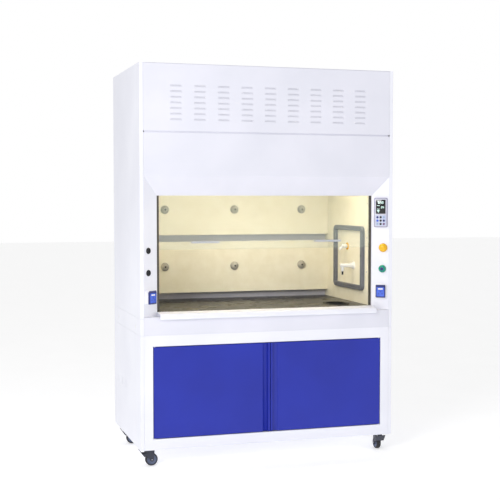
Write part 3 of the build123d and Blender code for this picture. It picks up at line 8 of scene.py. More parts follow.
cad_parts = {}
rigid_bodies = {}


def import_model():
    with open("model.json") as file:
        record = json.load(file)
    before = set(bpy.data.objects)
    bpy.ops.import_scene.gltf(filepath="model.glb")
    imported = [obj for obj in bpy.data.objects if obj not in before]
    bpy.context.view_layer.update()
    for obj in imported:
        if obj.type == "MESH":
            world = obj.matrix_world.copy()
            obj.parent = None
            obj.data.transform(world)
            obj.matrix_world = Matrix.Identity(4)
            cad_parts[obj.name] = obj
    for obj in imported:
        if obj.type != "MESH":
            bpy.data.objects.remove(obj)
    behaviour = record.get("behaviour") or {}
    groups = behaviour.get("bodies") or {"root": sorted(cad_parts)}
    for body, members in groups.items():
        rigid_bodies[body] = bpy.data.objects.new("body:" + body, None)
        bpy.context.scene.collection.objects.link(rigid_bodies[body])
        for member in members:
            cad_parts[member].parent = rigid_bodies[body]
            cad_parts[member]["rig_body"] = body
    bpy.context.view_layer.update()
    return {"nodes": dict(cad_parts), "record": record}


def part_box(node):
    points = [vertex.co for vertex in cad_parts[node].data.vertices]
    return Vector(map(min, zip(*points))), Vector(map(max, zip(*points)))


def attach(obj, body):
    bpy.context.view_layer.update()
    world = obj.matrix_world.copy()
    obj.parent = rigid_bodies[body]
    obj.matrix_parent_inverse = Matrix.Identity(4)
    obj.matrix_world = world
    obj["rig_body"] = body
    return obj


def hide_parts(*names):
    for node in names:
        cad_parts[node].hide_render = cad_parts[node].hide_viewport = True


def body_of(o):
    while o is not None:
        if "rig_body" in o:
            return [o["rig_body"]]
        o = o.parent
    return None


# Walk-up laboratory fume hood on a castered base cabinet: its finishes, and the pieces that need
# more shape than plain sheet metal. Everything is in metres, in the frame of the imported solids.
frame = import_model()
MM = 0.001

# Sizes the fittings are placed by, in millimetres. A depth is a distance behind the flat front.
FRONT = -388.0
LINER_INNER = 622.0
SIDE_FACE = 740.0
BEVEL_OUTER = 720.0
BEVEL_ALONG = (0.83204, 0.55469)  # across a post's bevel, towards the middle and the back
BAFFLE_DEPTH = 722.0
KNOB_OFFSET = 442.0
UPPER_KNOB_HEIGHT = 1398.5
LOWER_KNOB_HEIGHT = 1049.0
WINDOW_FRONT = 126.0

# Fittings: (depth, height) on the right inner side panel, and (run across the bevel, height) on a post
NOZZLE_SPOT = (390, 1177)
TAP_SPOT = (293, 1066)
GASKET_SCREW_SPOT = (WINDOW_FRONT + 19, 1130)
GAS_KNOB_SPOT = (34, 1182.5)
WATER_KNOB_SPOT = (38, 1060.5)
SOCKET_SPOT = (44, 931)
CONTROL_SPOT = (48, 1385.5)
POST_PLUG_RUN = 36.3
POST_PLUG_HEIGHTS = (1183.5, 1063)
SIDE_PLUG_DEPTHS = (132, 647)
SIDE_PLUG_HEIGHT = 762
SCREW_DEPTH = 92
SCREW_HEIGHTS = (1437.5, 1236.6, 1037.9)
HINGE_HEIGHT = 33.5  # of a socket lid's pin above the socket's middle

# Gasket section, and the casters
GASKET_BAND = 28
GASKET_CORNER = 33
CASTER_OFFSET = 682
CASTER_DEPTHS = (60, 622)
WHEEL_RADIUS = 35
WHEEL_TRAIL = 12

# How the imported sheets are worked: joins in metres, turns in degrees
MERGE_WITHIN = 0.01 * MM
BROAD_FACE = 5 * MM  # a face narrower than this is a cut edge, not a side of a bend
BEND_ANGLE = 20
EDGE_ANGLE = 30

# Camera, in metres and degrees: it stands left of the hood at chest height and looks to the right.
CAMERA_PLACE = (-1.87351, -6.08469, 1.46821)
CAMERA_PITCH = 2.7569
CAMERA_YAW = 17.1066
CAMERA_LENS = 77.419
SENSOR_WIDTH = 36.0


def at(depth):
    """Y in metres of a point that lies this many millimetres behind the flat front."""
    return (FRONT + depth) * MM


def set_camera():
    """The photograph's viewpoint, with no shift and everything in focus."""
    data = bpy.data.cameras.new("camera")
    data.lens = CAMERA_LENS
    data.sensor_width = SENSOR_WIDTH
    data.clip_end = 60
    camera = bpy.data.objects.new("camera", data)
    camera.location = CAMERA_PLACE
    camera.rotation_euler = (math.radians(90 - CAMERA_PITCH), 0, math.radians(-CAMERA_YAW))
    bpy.context.scene.collection.objects.link(camera)
    bpy.context.scene.camera = camera


set_camera()


# Colours and shader nodes
def colour(code, alpha=1.0):
    """Linear colour of an sRGB hex value."""
    parts = [int(code[i:i + 2], 16) / 255 for i in (1, 3, 5)]
    return [c / 12.92 if c <= 0.04045 else ((c + 0.055) / 1.055) ** 2.4 for c in parts] + [alpha]


def add(material, kind, links=None, **settings):
    """Add a shader node with its settings, and link sockets into its inputs."""
    item = material.node_tree.nodes.new("ShaderNode" + kind)
    for key, value in settings.items():
        setattr(item, key, value)
    for key, value in (links or {}).items():
        if isinstance(value, bpy.types.NodeSocket):
            material.node_tree.links.new(value, item.inputs[key])
        else:
            item.inputs[key].default_value = value
    return item


def surface(name, **inputs):
    """New material: its principled shader with fixed inputs set on the shader's own sockets."""
    material = bpy.data.materials.new(name)
    material.use_nodes = True
    shader = material.node_tree.nodes["Principled BSDF"]
    for key, value in inputs.items():
        shader.inputs[key.replace("_", " ")].default_value = value
    return material, shader


def feed(material, shader, **links):
    """Link sockets into a material's shader."""
    for key, socket in links.items():
        material.node_tree.links.new(socket, shader.inputs[key.replace("_", " ")])


def grain(material, size, detail=2.0, stretch=(1, 1, 1)):
    """Noise whose features are about this long in metres, on the piece's own coordinates."""
    where = add(material, "TexCoord")
    mapped = add(material, "Mapping", {"Vector": where.outputs["Object"], "Scale": stretch})
    return add(material, "TexNoise", {"Vector": mapped.outputs["Vector"], "Scale": 1 / size,
                                      "Detail": detail})


def shades(material, factor, stops):
    """Colour ramp through (position, hex) stops."""
    ramp = add(material, "ValToRGB", {"Fac": factor})
    elements = ramp.color_ramp.elements
    elements[0].position, elements[0].color = stops[0][0], colour(stops[0][1])
    elements[1].position, elements[1].color = stops[-1][0], colour(stops[-1][1])
    for position, code in stops[1:-1]:
        elements.new(position).color = colour(code)
    return ramp.outputs["Color"]


def spread(material, factor, low, high):
    """Turn a noise value into a small range of another value."""
    ranged = add(material, "MapRange", {"Value": factor, "From Min": 0.3, "From Max": 0.7,
                                        "To Min": low, "To Max": high})
    return ranged.outputs["Result"]


def relief(material, factor, height):
    """Bump of a real height in metres."""
    bump = add(material, "Bump", {"Height": factor, "Distance": height})
    return bump.outputs["Normal"]


def powder_coat(name, light, dark, roughness, peel=2.2 * MM, depth=0.04 * MM):
    """Baked powder coat: a fine orange peel, and a tone that drifts a little over a large sheet."""
    material, shader = surface(name, IOR=1.5, Metallic=0.0)
    drift = grain(material, 350 * MM, 3)
    skin = grain(material, peel, 3)
    feed(material, shader, Base_Color=shades(material, drift.outputs["Fac"], [(0.3, dark), (0.7, light)]),
         Roughness=spread(material, skin.outputs["Fac"], roughness - 0.04, roughness + 0.05),
         Normal=relief(material, skin.outputs["Fac"], depth))
    return material


def moulded(name, light, dark, roughness, pit=0.9 * MM, depth=0.02 * MM, **inputs):
    """Injection moulding: a near-even colour with a faint spark-eroded texture."""
    inputs = {"IOR": 1.5, **inputs}
    material, shader = surface(name, **inputs)
    drift = grain(material, 40 * MM, 2)
    skin = grain(material, pit, 2)
    feed(material, shader, Base_Color=shades(material, drift.outputs["Fac"], [(0.35, dark), (0.65, light)]),
         Roughness=spread(material, skin.outputs["Fac"], roughness - 0.03, roughness + 0.04),
         Normal=relief(material, skin.outputs["Fac"], depth))
    return material


def plated(name, light, dark, roughness, stretch=(1, 1, 1), size=3 * MM):
    """Metal with a fine drawn or barrel-plated grain that breaks up its reflections."""
    material, shader = surface(name, Metallic=1.0)
    lines = grain(material, size, 4, stretch)
    feed(material, shader, Base_Color=shades(material, lines.outputs["Fac"], [(0.3, dark), (0.7, light)]),
         Roughness=spread(material, lines.outputs["Fac"], roughness - 0.06, roughness + 0.08),
         Normal=relief(material, lines.outputs["Fac"], 0.01 * MM))
    return material


# Polyester powder coat on folded steel: a clean white with a cool cast and a soft, even gloss. The front
# panels have a slightly greyer coat than the frame round them.
white_powder_coat = powder_coat("white_powder_coat", "#F0F1FA", "#E9EAF4", 0.36)
pearl_powder_coat = powder_coat("pearl_powder_coat", "#E5E5F0", "#DDDEE9", 0.36)

# The same coat in blue: satin, with the orange peel a little easier to see on the dark colour.
blue_powder_coat = powder_coat("blue_powder_coat", "#1529A8", "#11239B", 0.4, depth=0.06 * MM)

# Dark grey coat on the casters' pressed steel: low gloss, nearly black in shade.
graphite_coat = powder_coat("graphite_coat", "#3A3D4B", "#2C2E39", 0.42, 1.5 * MM)


def cast_epoxy():
    """Cast epoxy resin worktop: black with a low sheen, and a very fine fill in the resin."""
    material, shader = surface("black_cast_epoxy", IOR=1.5, Specular_IOR_Level=0.3)
    fill = grain(material, 1.6 * MM, 2)
    wear = grain(material, 120 * MM, 4)
    feed(material, shader,
         Base_Color=shades(material, fill.outputs["Fac"], [(0.35, "#141315"), (0.72, "#222023")]),
         Roughness=spread(material, wear.outputs["Fac"], 0.25, 0.31),
         Normal=relief(material, fill.outputs["Fac"], 0.006 * MM))
    return material


def compact_laminate(name, code_light, code_dark):
    """Solid phenolic laminate with a plain decor face: satin, with faint mottling in the resin."""
    material, shader = surface(name, IOR=1.52)
    mottle = grain(material, 60 * MM, 5)
    skin = grain(material, 1.2 * MM, 2)
    feed(material, shader,
         Base_Color=shades(material, mottle.outputs["Fac"], [(0.3, code_dark), (0.7, code_light)]),
         Roughness=spread(material, skin.outputs["Fac"], 0.34, 0.42),
         Normal=relief(material, skin.outputs["Fac"], 0.012 * MM))
    return material


def extruded_rubber():
    """Extruded EPDM seal: matt dark grey with the fine bloom that such rubber has."""
    material, shader = surface("grey_seal_rubber", IOR=1.52, Specular_IOR_Level=0.35)
    bloom = grain(material, 25 * MM, 5)
    skin = grain(material, 0.8 * MM, 2)
    feed(material, shader,
         Base_Color=shades(material, bloom.outputs["Fac"], [(0.3, "#6A6C73"), (0.7, "#74767E")]),
         Roughness=spread(material, skin.outputs["Fac"], 0.6, 0.75),
         Normal=relief(material, skin.outputs["Fac"], 0.03 * MM))
    return material


def safety_glass(name, alpha, code, gloss):
    """Laminated safety glass with a cool green cast and a clean polished surface."""
    material, shader = surface(name, IOR=1.5, Roughness=0.03, Alpha=alpha, Base_Color=colour(code),
                               Specular_IOR_Level=gloss)
    haze = grain(material, 90 * MM, 3)
    feed(material, shader, Normal=relief(material, haze.outputs["Fac"], 0.002 * MM))
    material.surface_render_method = "BLENDED"
    return material


def glowing(name, base, code, strength):
    """Surface that gives off its own light."""
    material, shader = surface(name, IOR=1.49, Base_Color=colour(base), Emission_Color=colour(code),
                               Emission_Strength=strength)
    haze = grain(material, 12 * MM, 2)
    feed(material, shader, Roughness=spread(material, haze.outputs["Fac"], 0.4, 0.5))
    return material


black_cast_epoxy = cast_epoxy()
cream_laminate = compact_laminate("cream_compact_laminate", "#F5F0DC", "#EFE9D2")
grey_laminate = compact_laminate("grey_compact_laminate", "#DEDCE2", "#D5D3DA")
seal_rubber = extruded_rubber()

# The pane is nearly clear from the front, and its ground edges gather the green of the glass.
sash_glass_finish = safety_glass("sash_safety_glass", 0.09, "#CFE2D4", 0.6)
glass_edge = safety_glass("sash_glass_edge", 0.75, "#A9CDB8", 0.6)

# Zinc plate on pressed steel, and the brighter turned ends of pins and axles.
zinc_plate = plated("zinc_plate", "#C9CBD0", "#A9ACB3", 0.38)
bright_steel = plated("bright_turned_steel", "#E2E3E6", "#C4C6CB", 0.2, (1, 1, 6), 1.5 * MM)

# Anodised aluminium: dark for the sash tracks, natural for the sash pulls, drawn along their length.
dark_anodised = plated("dark_anodised_aluminium", "#6A6560", "#595550", 0.42, (4, 4, 0.2), 2 * MM)
clear_anodised = plated("clear_anodised_aluminium", "#DADCE4", "#C3C6D2", 0.34, (0.1, 4, 4), 2 * MM)

# Mouldings: polypropylene is waxy and matt, ABS has a soft gloss, and the knobs are glossier.
black_polypropylene = moulded("black_polypropylene", "#1C1C1E", "#131315", 0.5)
grey_polypropylene = moulded("grey_polypropylene", "#C2C2BE", "#B2B2AE", 0.48)
slate_polypropylene = moulded("slate_blue_polypropylene", "#6C7690", "#5C6680", 0.4)
black_tyre = moulded("black_polyurethane", "#222228", "#18181D", 0.45)
black_abs = moulded("black_abs", "#17181C", "#0D0E12", 0.4)
white_abs = moulded("white_abs", "#F1F1F4", "#E8E8EE", 0.32)
lavender_abs = moulded("lavender_grey_abs", "#A5A3BA", "#9896B0", 0.36)
pale_lavender_abs = moulded("pale_lavender_abs", "#C9C9D8", "#BFBFD0", 0.36)
knob_grey = moulded("knob_grey_abs", "#B4B1A6", "#9C998F", 0.42)
yellow_abs = moulded("yellow_abs", "#F2BC0E", "#E8AE08", 0.25, Coat_Weight=0.2)
teal_abs = moulded("teal_abs", "#0E9B84", "#088872", 0.25, Coat_Weight=0.2)
mint_abs = moulded("mint_abs", "#5FC7B4", "#4DB7A3", 0.25, Coat_Weight=0.2)
navy_abs = moulded("navy_abs", "#232E7C", "#1B2566", 0.3)
# Dark blue for the dots on the socket lids: painted shade of the pin holes under the lid.
painted_hole_shade = moulded("painted_hole_shade", "#1C2A86", "#16226F", 0.3)
steel_blue_abs = moulded("steel_blue_abs", "#9FB2D0", "#8FA4C6", 0.3)
plum_film = moulded("plum_film", "#6E4A78", "#5F3D69", 0.3)
blue_lid = moulded("blue_polycarbonate", "#4F70E0", "#3F5ED0", 0.14)
nylon_white = moulded("epoxy_coated_brass", "#F6F6F4", "#EDEDEA", 0.22, Coat_Weight=0.3)
membrane_film = moulded("membrane_film", "#C5CBE2", "#B4BCDA", 0.4)

# The display's dark window, and its digits of pale vacuum-fluorescent light.
display_glass = moulded("display_window", "#0C0D10", "#08090B", 0.12, Coat_Weight=0.4)
lit_bars = glowing("display_light", "#D8F4EC", "#D4F7EC", 1.2)

# Painted steel bar, stranded cable, the lamp's frosted lens and the motor's cast case.
weight_paint = powder_coat("grey_weight_paint", "#4B4D50", "#3E4043", 0.5)
cable_steel = plated("stranded_cable_steel", "#B8BABF", "#8D9096", 0.35, (1, 1, 8), 1 * MM)
lit_lens = glowing("frosted_acrylic_lens", "#FBF8EC", "#FFF1D6", 16.0)
cast_aluminium = plated("cast_aluminium", "#A4A7AC", "#8B8E94", 0.5, size=5 * MM)


# Ways of working
def rest_hands():
    """Leave edit mode and select nothing."""
    if bpy.context.object and bpy.context.object.mode != "OBJECT":
        bpy.ops.object.mode_set(mode="OBJECT")
    bpy.ops.object.select_all(action="DESELECT")


def take(piece):
    """Select one piece alone."""
    rest_hands()
    piece.select_set(True)
    bpy.context.view_layer.objects.active = piece
    return piece


def named(name):
    """Name the piece that was just added."""
    piece = bpy.context.object
    piece.name = name
    piece.data.name = name
    return piece


def apply_modifiers(piece):
    """Apply a piece's modifiers in their order."""
    take(piece)
    for modifier in list(piece.modifiers):
        bpy.ops.object.modifier_apply(modifier=modifier.name)
    return piece


def round_edges(piece, width, steps):
    """Round every edge that turns by more than EDGE_ANGLE."""
    modifier = piece.modifiers.new("rounding", "BEVEL")
    modifier.width = width
    modifier.segments = steps
    modifier.limit_method = "ANGLE"
    modifier.angle_limit = math.radians(EDGE_ANGLE)
    modifier.harden_normals = False
    return apply_modifiers(piece)


def smooth(piece, angle=35):
    """Shade smooth, apart from edges sharper than an angle."""
    take(piece)
    bpy.ops.object.shade_smooth_by_angle(angle=math.radians(angle))
    return piece


def select_faces(piece, wanted):
    """In edit mode, select the faces that a test picks."""
    bpy.ops.mesh.select_mode(type="FACE")
    bpy.ops.mesh.select_all(action="DESELECT")
    mesh = bmesh.from_edit_mesh(piece.data)
    for face in mesh.faces:
        face.select_set(bool(wanted(face)))
    bmesh.update_edit_mesh(piece.data)


def slab(name, low, high, rounding=0.0, steps=3):
    """Block between two corners, with rounded edges."""
    rest_hands()
    low, high = Vector(low), Vector(high)
    bpy.ops.mesh.primitive_cube_add(size=1, location=(low + high) / 2, scale=high - low)
    piece = named(name)
    bpy.ops.object.transform_apply(location=True, rotation=True, scale=True)
    if rounding:
        round_edges(piece, rounding, steps)
    return smooth(piece) if rounding else piece


def grow(rings):
    """Extrude what is selected from ring to ring of (radius, height) in millimetres."""
    radius, height = rings[0]
    for wide, high in rings[1:]:
        lift = (high - height) * MM
        bpy.ops.mesh.extrude_region_move(TRANSFORM_OT_translate={"value": (0, 0, lift)})
        scale = wide / radius
        bpy.ops.transform.resize(value=(scale, scale, 1), center_override=(0, 0, high * MM))
        radius, height = wide, high


def turned(name, rings, sides=48):
    """Round piece about Z through (radius, height) rings in millimetres. A closed profile is a ring."""
    rest_hands()
    hollow = rings[0] == rings[-1]
    radius, height = rings[0]
    bpy.ops.mesh.primitive_circle_add(vertices=sides, radius=radius * MM, location=(0, 0, height * MM),
                                      fill_type="NOTHING" if hollow else "NGON")
    piece = named(name)
    bpy.ops.object.transform_apply(location=True)
    bpy.ops.object.mode_set(mode="EDIT")
    bpy.ops.mesh.select_all(action="SELECT")
    grow(rings)
    bpy.ops.mesh.select_all(action="SELECT")
    if hollow:
        bpy.ops.mesh.remove_doubles(threshold=0.002 * MM)
    bpy.ops.mesh.normals_make_consistent(inside=False)
    bpy.ops.object.mode_set(mode="OBJECT")
    return smooth(piece)


def flute(piece, count, depth, low, high):
    """Press finger flutes into a turned knob between two heights in millimetres."""
    for vertex in piece.data.vertices:
        x, y, z = vertex.co
        if low * MM < z < high * MM:
            wave = 0.5 + 0.5 * math.cos(count * math.atan2(y, x))
            squeeze = 1 - (1 - depth) * wave
            vertex.co = (x * squeeze, y * squeeze, z)
    piece.data.update()
    return piece


def pad(name, width, height, corner, base, top, edge, spot=(0, 0)):
    """Flat-backed pad in millimetres: rounded corners, and a rounded edge round its top face."""
    rest_hands()
    bpy.ops.mesh.primitive_plane_add(size=1)
    piece = named(name)
    piece.scale = (width * MM, height * MM, 1)
    piece.location = (spot[0] * MM, spot[1] * MM, base * MM)
    bpy.ops.object.transform_apply(location=True, rotation=True, scale=True)
    bpy.ops.object.mode_set(mode="EDIT")
    bpy.ops.mesh.select_all(action="SELECT")
    if corner:
        bpy.ops.mesh.bevel(offset=corner * MM, segments=6, affect="VERTICES")
        bpy.ops.mesh.select_all(action="SELECT")
    lift = (top - base) * MM
    bpy.ops.mesh.extrude_region_move(TRANSFORM_OT_translate={"value": (0, 0, lift)})
    if edge:
        bpy.ops.mesh.region_to_loop()
        bpy.ops.mesh.bevel(offset=edge * MM, segments=3, affect="EDGES")
    bpy.ops.mesh.select_all(action="SELECT")
    bpy.ops.mesh.normals_make_consistent(inside=False)
    bpy.ops.object.mode_set(mode="OBJECT")
    return smooth(piece)


def seat(piece, place):
    """Put a piece where a matrix says, in its mesh."""
    piece.data.transform(place)
    piece.data.update()
    return piece


def facing(out, origin):
    """Placement whose Z looks out from a wall, whose Y is up, and whose origin is on the wall."""
    out, up = Vector(out).normalized(), Vector((0, 0, 1))
    turn = Matrix((up.cross(out), up, out)).transposed().to_4x4()
    return Matrix.Translation(origin) @ turn


def on_post(side, run, height):
    """Placement on a post's bevel: side is -1 for left, run is across the bevel from its outer edge."""
    across, back = BEVEL_ALONG
    origin = ((side * BEVEL_OUTER - side * across * run) * MM, at(back * run), height * MM)
    return facing((-side * back, -across, 0), origin)


def on_side(side, depth, height):
    """Placement on an outer side panel's face: side is -1 for left."""
    return facing((side, 0, 0), (side * SIDE_FACE * MM, at(depth), height * MM))


def on_liner(depth, height):
    """Placement on the right inner side panel's face."""
    return facing((-1, 0, 0), (LINER_INNER * MM, at(depth), height * MM))


def joined(name, pieces):
    """Join pieces into one, which keeps each one's material."""
    take(pieces[0])
    for piece in pieces[1:]:
        piece.select_set(True)
    bpy.ops.object.join()
    return named(name)


def twin(piece, name):
    """Copy of a piece with its own mesh."""
    copy = piece.copy()
    copy.data = piece.data.copy()
    copy.name = name
    copy.data.name = name
    bpy.context.scene.collection.objects.link(copy)
    return copy


def dress(piece, finish):
    """Give a piece its material."""
    piece.data.materials.clear()
    piece.data.materials.append(finish)
    return piece


def fit(piece, body, slot, *nodes):
    """Fix a finished piece to its body, and hide the solids it stands for."""
    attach(piece, body)
    if nodes:
        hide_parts(*nodes)
    return piece


def slot_of(name):
    """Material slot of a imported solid, from the record."""
    return next(part["material_slot"] for part in frame["record"]["subparts"] if part["node"] == name)


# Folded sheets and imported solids
def flat_groups(mesh):
    """Groups of faces that lie in one plane and touch, by face index."""
    group_of = {}
    for face in mesh.faces:
        if face.index in group_of:
            continue
        group, queue = [], [face]
        group_of[face.index] = group
        while queue:
            here = queue.pop()
            group.append(here)
            for edge in here.edges:
                for near in edge.link_faces:
                    if near.index not in group_of and near.normal.dot(here.normal) > 0.9999:
                        group_of[near.index] = group
                        queue.append(near)
    return group_of


def breadth(group):
    """Area of a flat group over its longest extent."""
    corners = [v.co for face in group for v in face.verts]
    spans = [max(c[i] for c in corners) - min(c[i] for c in corners) for i in range(3)]
    return sum(face.calc_area() for face in group) / Vector(spans).length


def fold_sheet(name, finish, radius=1.6 * MM):
    """Copy of a packed sheet whose outer bends are rounded to a real bend radius."""
    solid = frame["nodes"][name]
    rest_hands()
    sheet = bpy.data.objects.new(name + "_folded", solid.data.copy())
    bpy.context.scene.collection.objects.link(sheet)
    take(sheet)
    bpy.ops.object.mode_set(mode="EDIT")
    bpy.ops.mesh.select_all(action="SELECT")
    bpy.ops.mesh.remove_doubles(threshold=MERGE_WITHIN)
    bpy.ops.mesh.select_all(action="DESELECT")
    mesh = bmesh.from_edit_mesh(sheet.data)
    mesh.faces.ensure_lookup_table()
    group_of = flat_groups(mesh)
    size = {}
    for group in group_of.values():
        if id(group) not in size:
            size[id(group)] = breadth(group)
    for edge in mesh.edges:
        if len(edge.link_faces) == 2 and edge.calc_face_angle_signed(0) > math.radians(BEND_ANGLE):
            if all(size[id(group_of[face.index])] > BROAD_FACE for face in edge.link_faces):
                edge.select = True
    bmesh.update_edit_mesh(sheet.data)
    bpy.ops.mesh.bevel(offset=radius, segments=3, affect="EDGES", clamp_overlap=False)
    bpy.ops.object.mode_set(mode="OBJECT")
    smooth(sheet)
    sheet.modifiers.new("normals", "WEIGHTED_NORMAL").keep_sharp = True
    dress(sheet, finish)
    return fit(sheet, body_of(solid)[0], slot_of(name), name)


def finish_solid(name, finish, rounding=0.0):
    """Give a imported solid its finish, and break its sharp edges by a small radius."""
    solid = frame["nodes"][name]
    dress(solid, finish)
    if rounding:
        weld = solid.modifiers.new("merge", "WELD")
        weld.merge_threshold = MERGE_WITHIN
        edge = solid.modifiers.new("edge", "BEVEL")
        edge.width = rounding
        edge.segments = 2
        edge.limit_method = "ANGLE"
        edge.angle_limit = math.radians(25)
        solid.modifiers.new("normals", "WEIGHTED_NORMAL").keep_sharp = False
    return solid


for sheet in ("base_sides", "base_back", "base_floor", "base_face_frame", "hood_sides", "hood_back",
              "hood_top", "front_posts", "airfoil_sill"):
    fold_sheet(sheet, white_powder_coat)
for sheet in ("louvre_panel", "front_fascia", "apron"):
    fold_sheet(sheet, pearl_powder_coat)
for leaf in ("left_door", "right_door"):
    fold_sheet(leaf, blue_powder_coat, 1.8 * MM)
for board in ("left_liner", "right_liner", "upper_baffle", "lower_baffle", "chamber_ceiling",
              "access_panel"):
    finish_solid(board, cream_laminate, 0.5 * MM)
finish_solid("rear_wall", grey_laminate)
finish_solid("worktop", black_cast_epoxy, 0.8 * MM)
finish_solid("cup_sink", black_polypropylene, 0.6 * MM)
finish_solid("lamp_unit", grey_polypropylene)
finish_solid("sash_handles", clear_anodised, 0.6 * MM)
finish_solid("counterweight", weight_paint, 1 * MM)
finish_solid("left_socket_lid", navy_abs, 0.5 * MM)
finish_solid("right_socket_lid", navy_abs, 0.5 * MM)
for name, finish in (
        ("worktop_rails", zinc_plate), ("sash_tracks", dark_anodised), ("sash_top_rail", dark_anodised),
        ("sash_cables", cable_steel), ("front_pulley_shaft", zinc_plate),
        ("rear_pulley_shaft", zinc_plate), ("blower_housing", grey_polypropylene),
        ("blower_wheel", grey_polypropylene), ("blower_motor", cast_aluminium),
        ("caster_plates", graphite_coat)):
    finish_solid(name, finish)


# Sash glass with polished edges, and the lamp's glowing lens
def sash_pane():
    """Pane with ground and polished edges, which show brighter than its faces."""
    pane = slab("sash_pane", *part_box("sash_glass"), 0.8 * MM, 2)
    pane.data.materials.append(sash_glass_finish)
    pane.data.materials.append(glass_edge)
    for face in pane.data.polygons:
        face.material_index = 0 if abs(face.normal.y) > 0.9 else 1
    fit(pane, "sash", "sash_safety_glass", "sash_glass")


def lamp_lens():
    """Frosted lens of the lamp, just under the ceiling."""
    lens = slab("lamp_lens", (-0.498, at(142), 1.6546), (0.498, at(238), 1.6558), 0.5 * MM, 2)
    fit(dress(lens, lit_lens), "cabinet", "lamp_plastic")


sash_pane()
lamp_lens()


# Gasket round the access panel, with its screw
def window_gasket():
    """Rubber section round the panel: a broad band with a groove for its locking strip."""
    low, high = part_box("window_gasket")
    length, height, stand = high.y - low.y, high.z - low.z, high.x - low.x
    rest_hands()
    bpy.ops.mesh.primitive_plane_add(size=1)
    ring = named("gasket_ring")
    ring.scale = (length, height, 1)
    bpy.ops.object.transform_apply(location=False, rotation=False, scale=True)
    bpy.ops.object.mode_set(mode="EDIT")
    bpy.ops.mesh.select_all(action="SELECT")
    bpy.ops.mesh.bevel(offset=GASKET_CORNER * MM, segments=10, affect="VERTICES")
    bpy.ops.mesh.select_all(action="SELECT")
    bpy.ops.mesh.inset(thickness=GASKET_BAND * MM)
    bpy.ops.mesh.delete(type="FACE")
    bpy.ops.mesh.select_all(action="SELECT")
    bpy.ops.mesh.extrude_region_move(TRANSFORM_OT_translate={"value": (0, 0, stand)})
    bpy.ops.mesh.region_to_loop()
    bpy.ops.mesh.bevel(offset=4.5 * MM, segments=4, affect="EDGES")
    select_faces(ring, lambda face: face.normal.z > 0.99 and face.calc_center_median().z > stand - MM)
    bpy.ops.mesh.inset(thickness=4 * MM, use_boundary=True)
    bpy.ops.mesh.inset(thickness=1 * MM, use_boundary=True, depth=-1.8 * MM)
    bpy.ops.mesh.select_all(action="SELECT")
    bpy.ops.mesh.normals_make_consistent(inside=False)
    bpy.ops.object.mode_set(mode="OBJECT")
    smooth(ring, 40)
    middle = (high.x, (low.y + high.y) / 2, (low.z + high.z) / 2)
    seat(ring, facing((-1, 0, 0), middle))
    fit(dress(ring, seal_rubber), "cabinet", "gasket_rubber", "window_gasket")
    screw = turned("gasket_screw", [(4.2, -2), (4.2, 0.6), (3.2, 1.6), (1.2, 1.8)], 20)
    depth, level = GASKET_SCREW_SPOT
    seat(screw, facing((-1, 0, 0), (low.x, at(depth), level * MM)))
    fit(dress(screw, black_abs), "cabinet", "gasket_rubber")


window_gasket()


# Service fittings on the access panel
def barbed_nozzle():
    """Gas outlet: a yellow flange, a coated body and a hose barb that droops."""
    place = on_liner(*NOZZLE_SPOT)
    flange = turned("flange", [(22, 0), (22, 3), (21, 4.4), (18, 5), (12.5, 5.2)])
    body = turned("body", [(12, 5), (12, 22), (11.4, 23), (11.4, 24), (12, 25), (12, 34), (10, 37.4),
                           (4, 38)])
    barb = turned("barb", [(7, 0), (7, 14), (9, 14.4), (6.6, 19.6), (8.8, 20), (6.4, 25.2),
                           (8.4, 25.6), (5.4, 31), (3.2, 31), (3, 22), (0.5, 22)], 32)
    droop = Matrix.Translation((0, 0, 30 * MM)) @ Matrix.Rotation(math.radians(42), 4, "X")
    seat(barb, droop)
    dress(flange, yellow_abs)
    for piece in (body, barb):
        dress(piece, nylon_white)
    nozzle = joined("gas_outlet", [flange, body, barb])
    fit(seat(nozzle, place), "cabinet", "fitting_coating", "gas_nozzle")


def spout():
    """Water outlet: a flange and collar, a level spout and a short drop with a dark serrated tip."""
    place = on_liner(*TAP_SPOT)
    flange = turned("flange", [(23.5, 0), (23.5, 3), (22.4, 5), (19, 6.4), (16.4, 7)])
    collar = turned("collar", [(16, 5), (16, 20), (15.2, 23), (13, 26), (12.2, 26.4)])
    pipe = turned("pipe", [(11.8, 20), (11.8, 82), (11, 85.4), (8.6, 87.2), (4, 87.5)])
    drop = turned("drop", [(9, 6), (9, 30), (8.6, 32), (7.2, 34), (6.6, 36), (4, 36)], 32)
    tip = turned("tip", [(6.2, 35), (6.2, 42), (5.4, 43), (6, 46), (5.2, 47), (5.8, 50), (4.8, 51),
                         (5.2, 56), (3.2, 56), (3, 50), (0.5, 50)], 32)
    down = Matrix.Translation((0, 0, 71 * MM)) @ Matrix.Rotation(math.radians(90), 4, "X")
    for piece in (drop, tip):
        seat(piece, down)
    for piece in (flange, collar, pipe, drop):
        dress(piece, nylon_white)
    dress(tip, black_abs)
    tap = joined("water_spout", [flange, collar, pipe, drop, tip])
    fit(seat(tap, place), "cabinet", "fitting_coating", "water_tap")


barbed_nozzle()
spout()


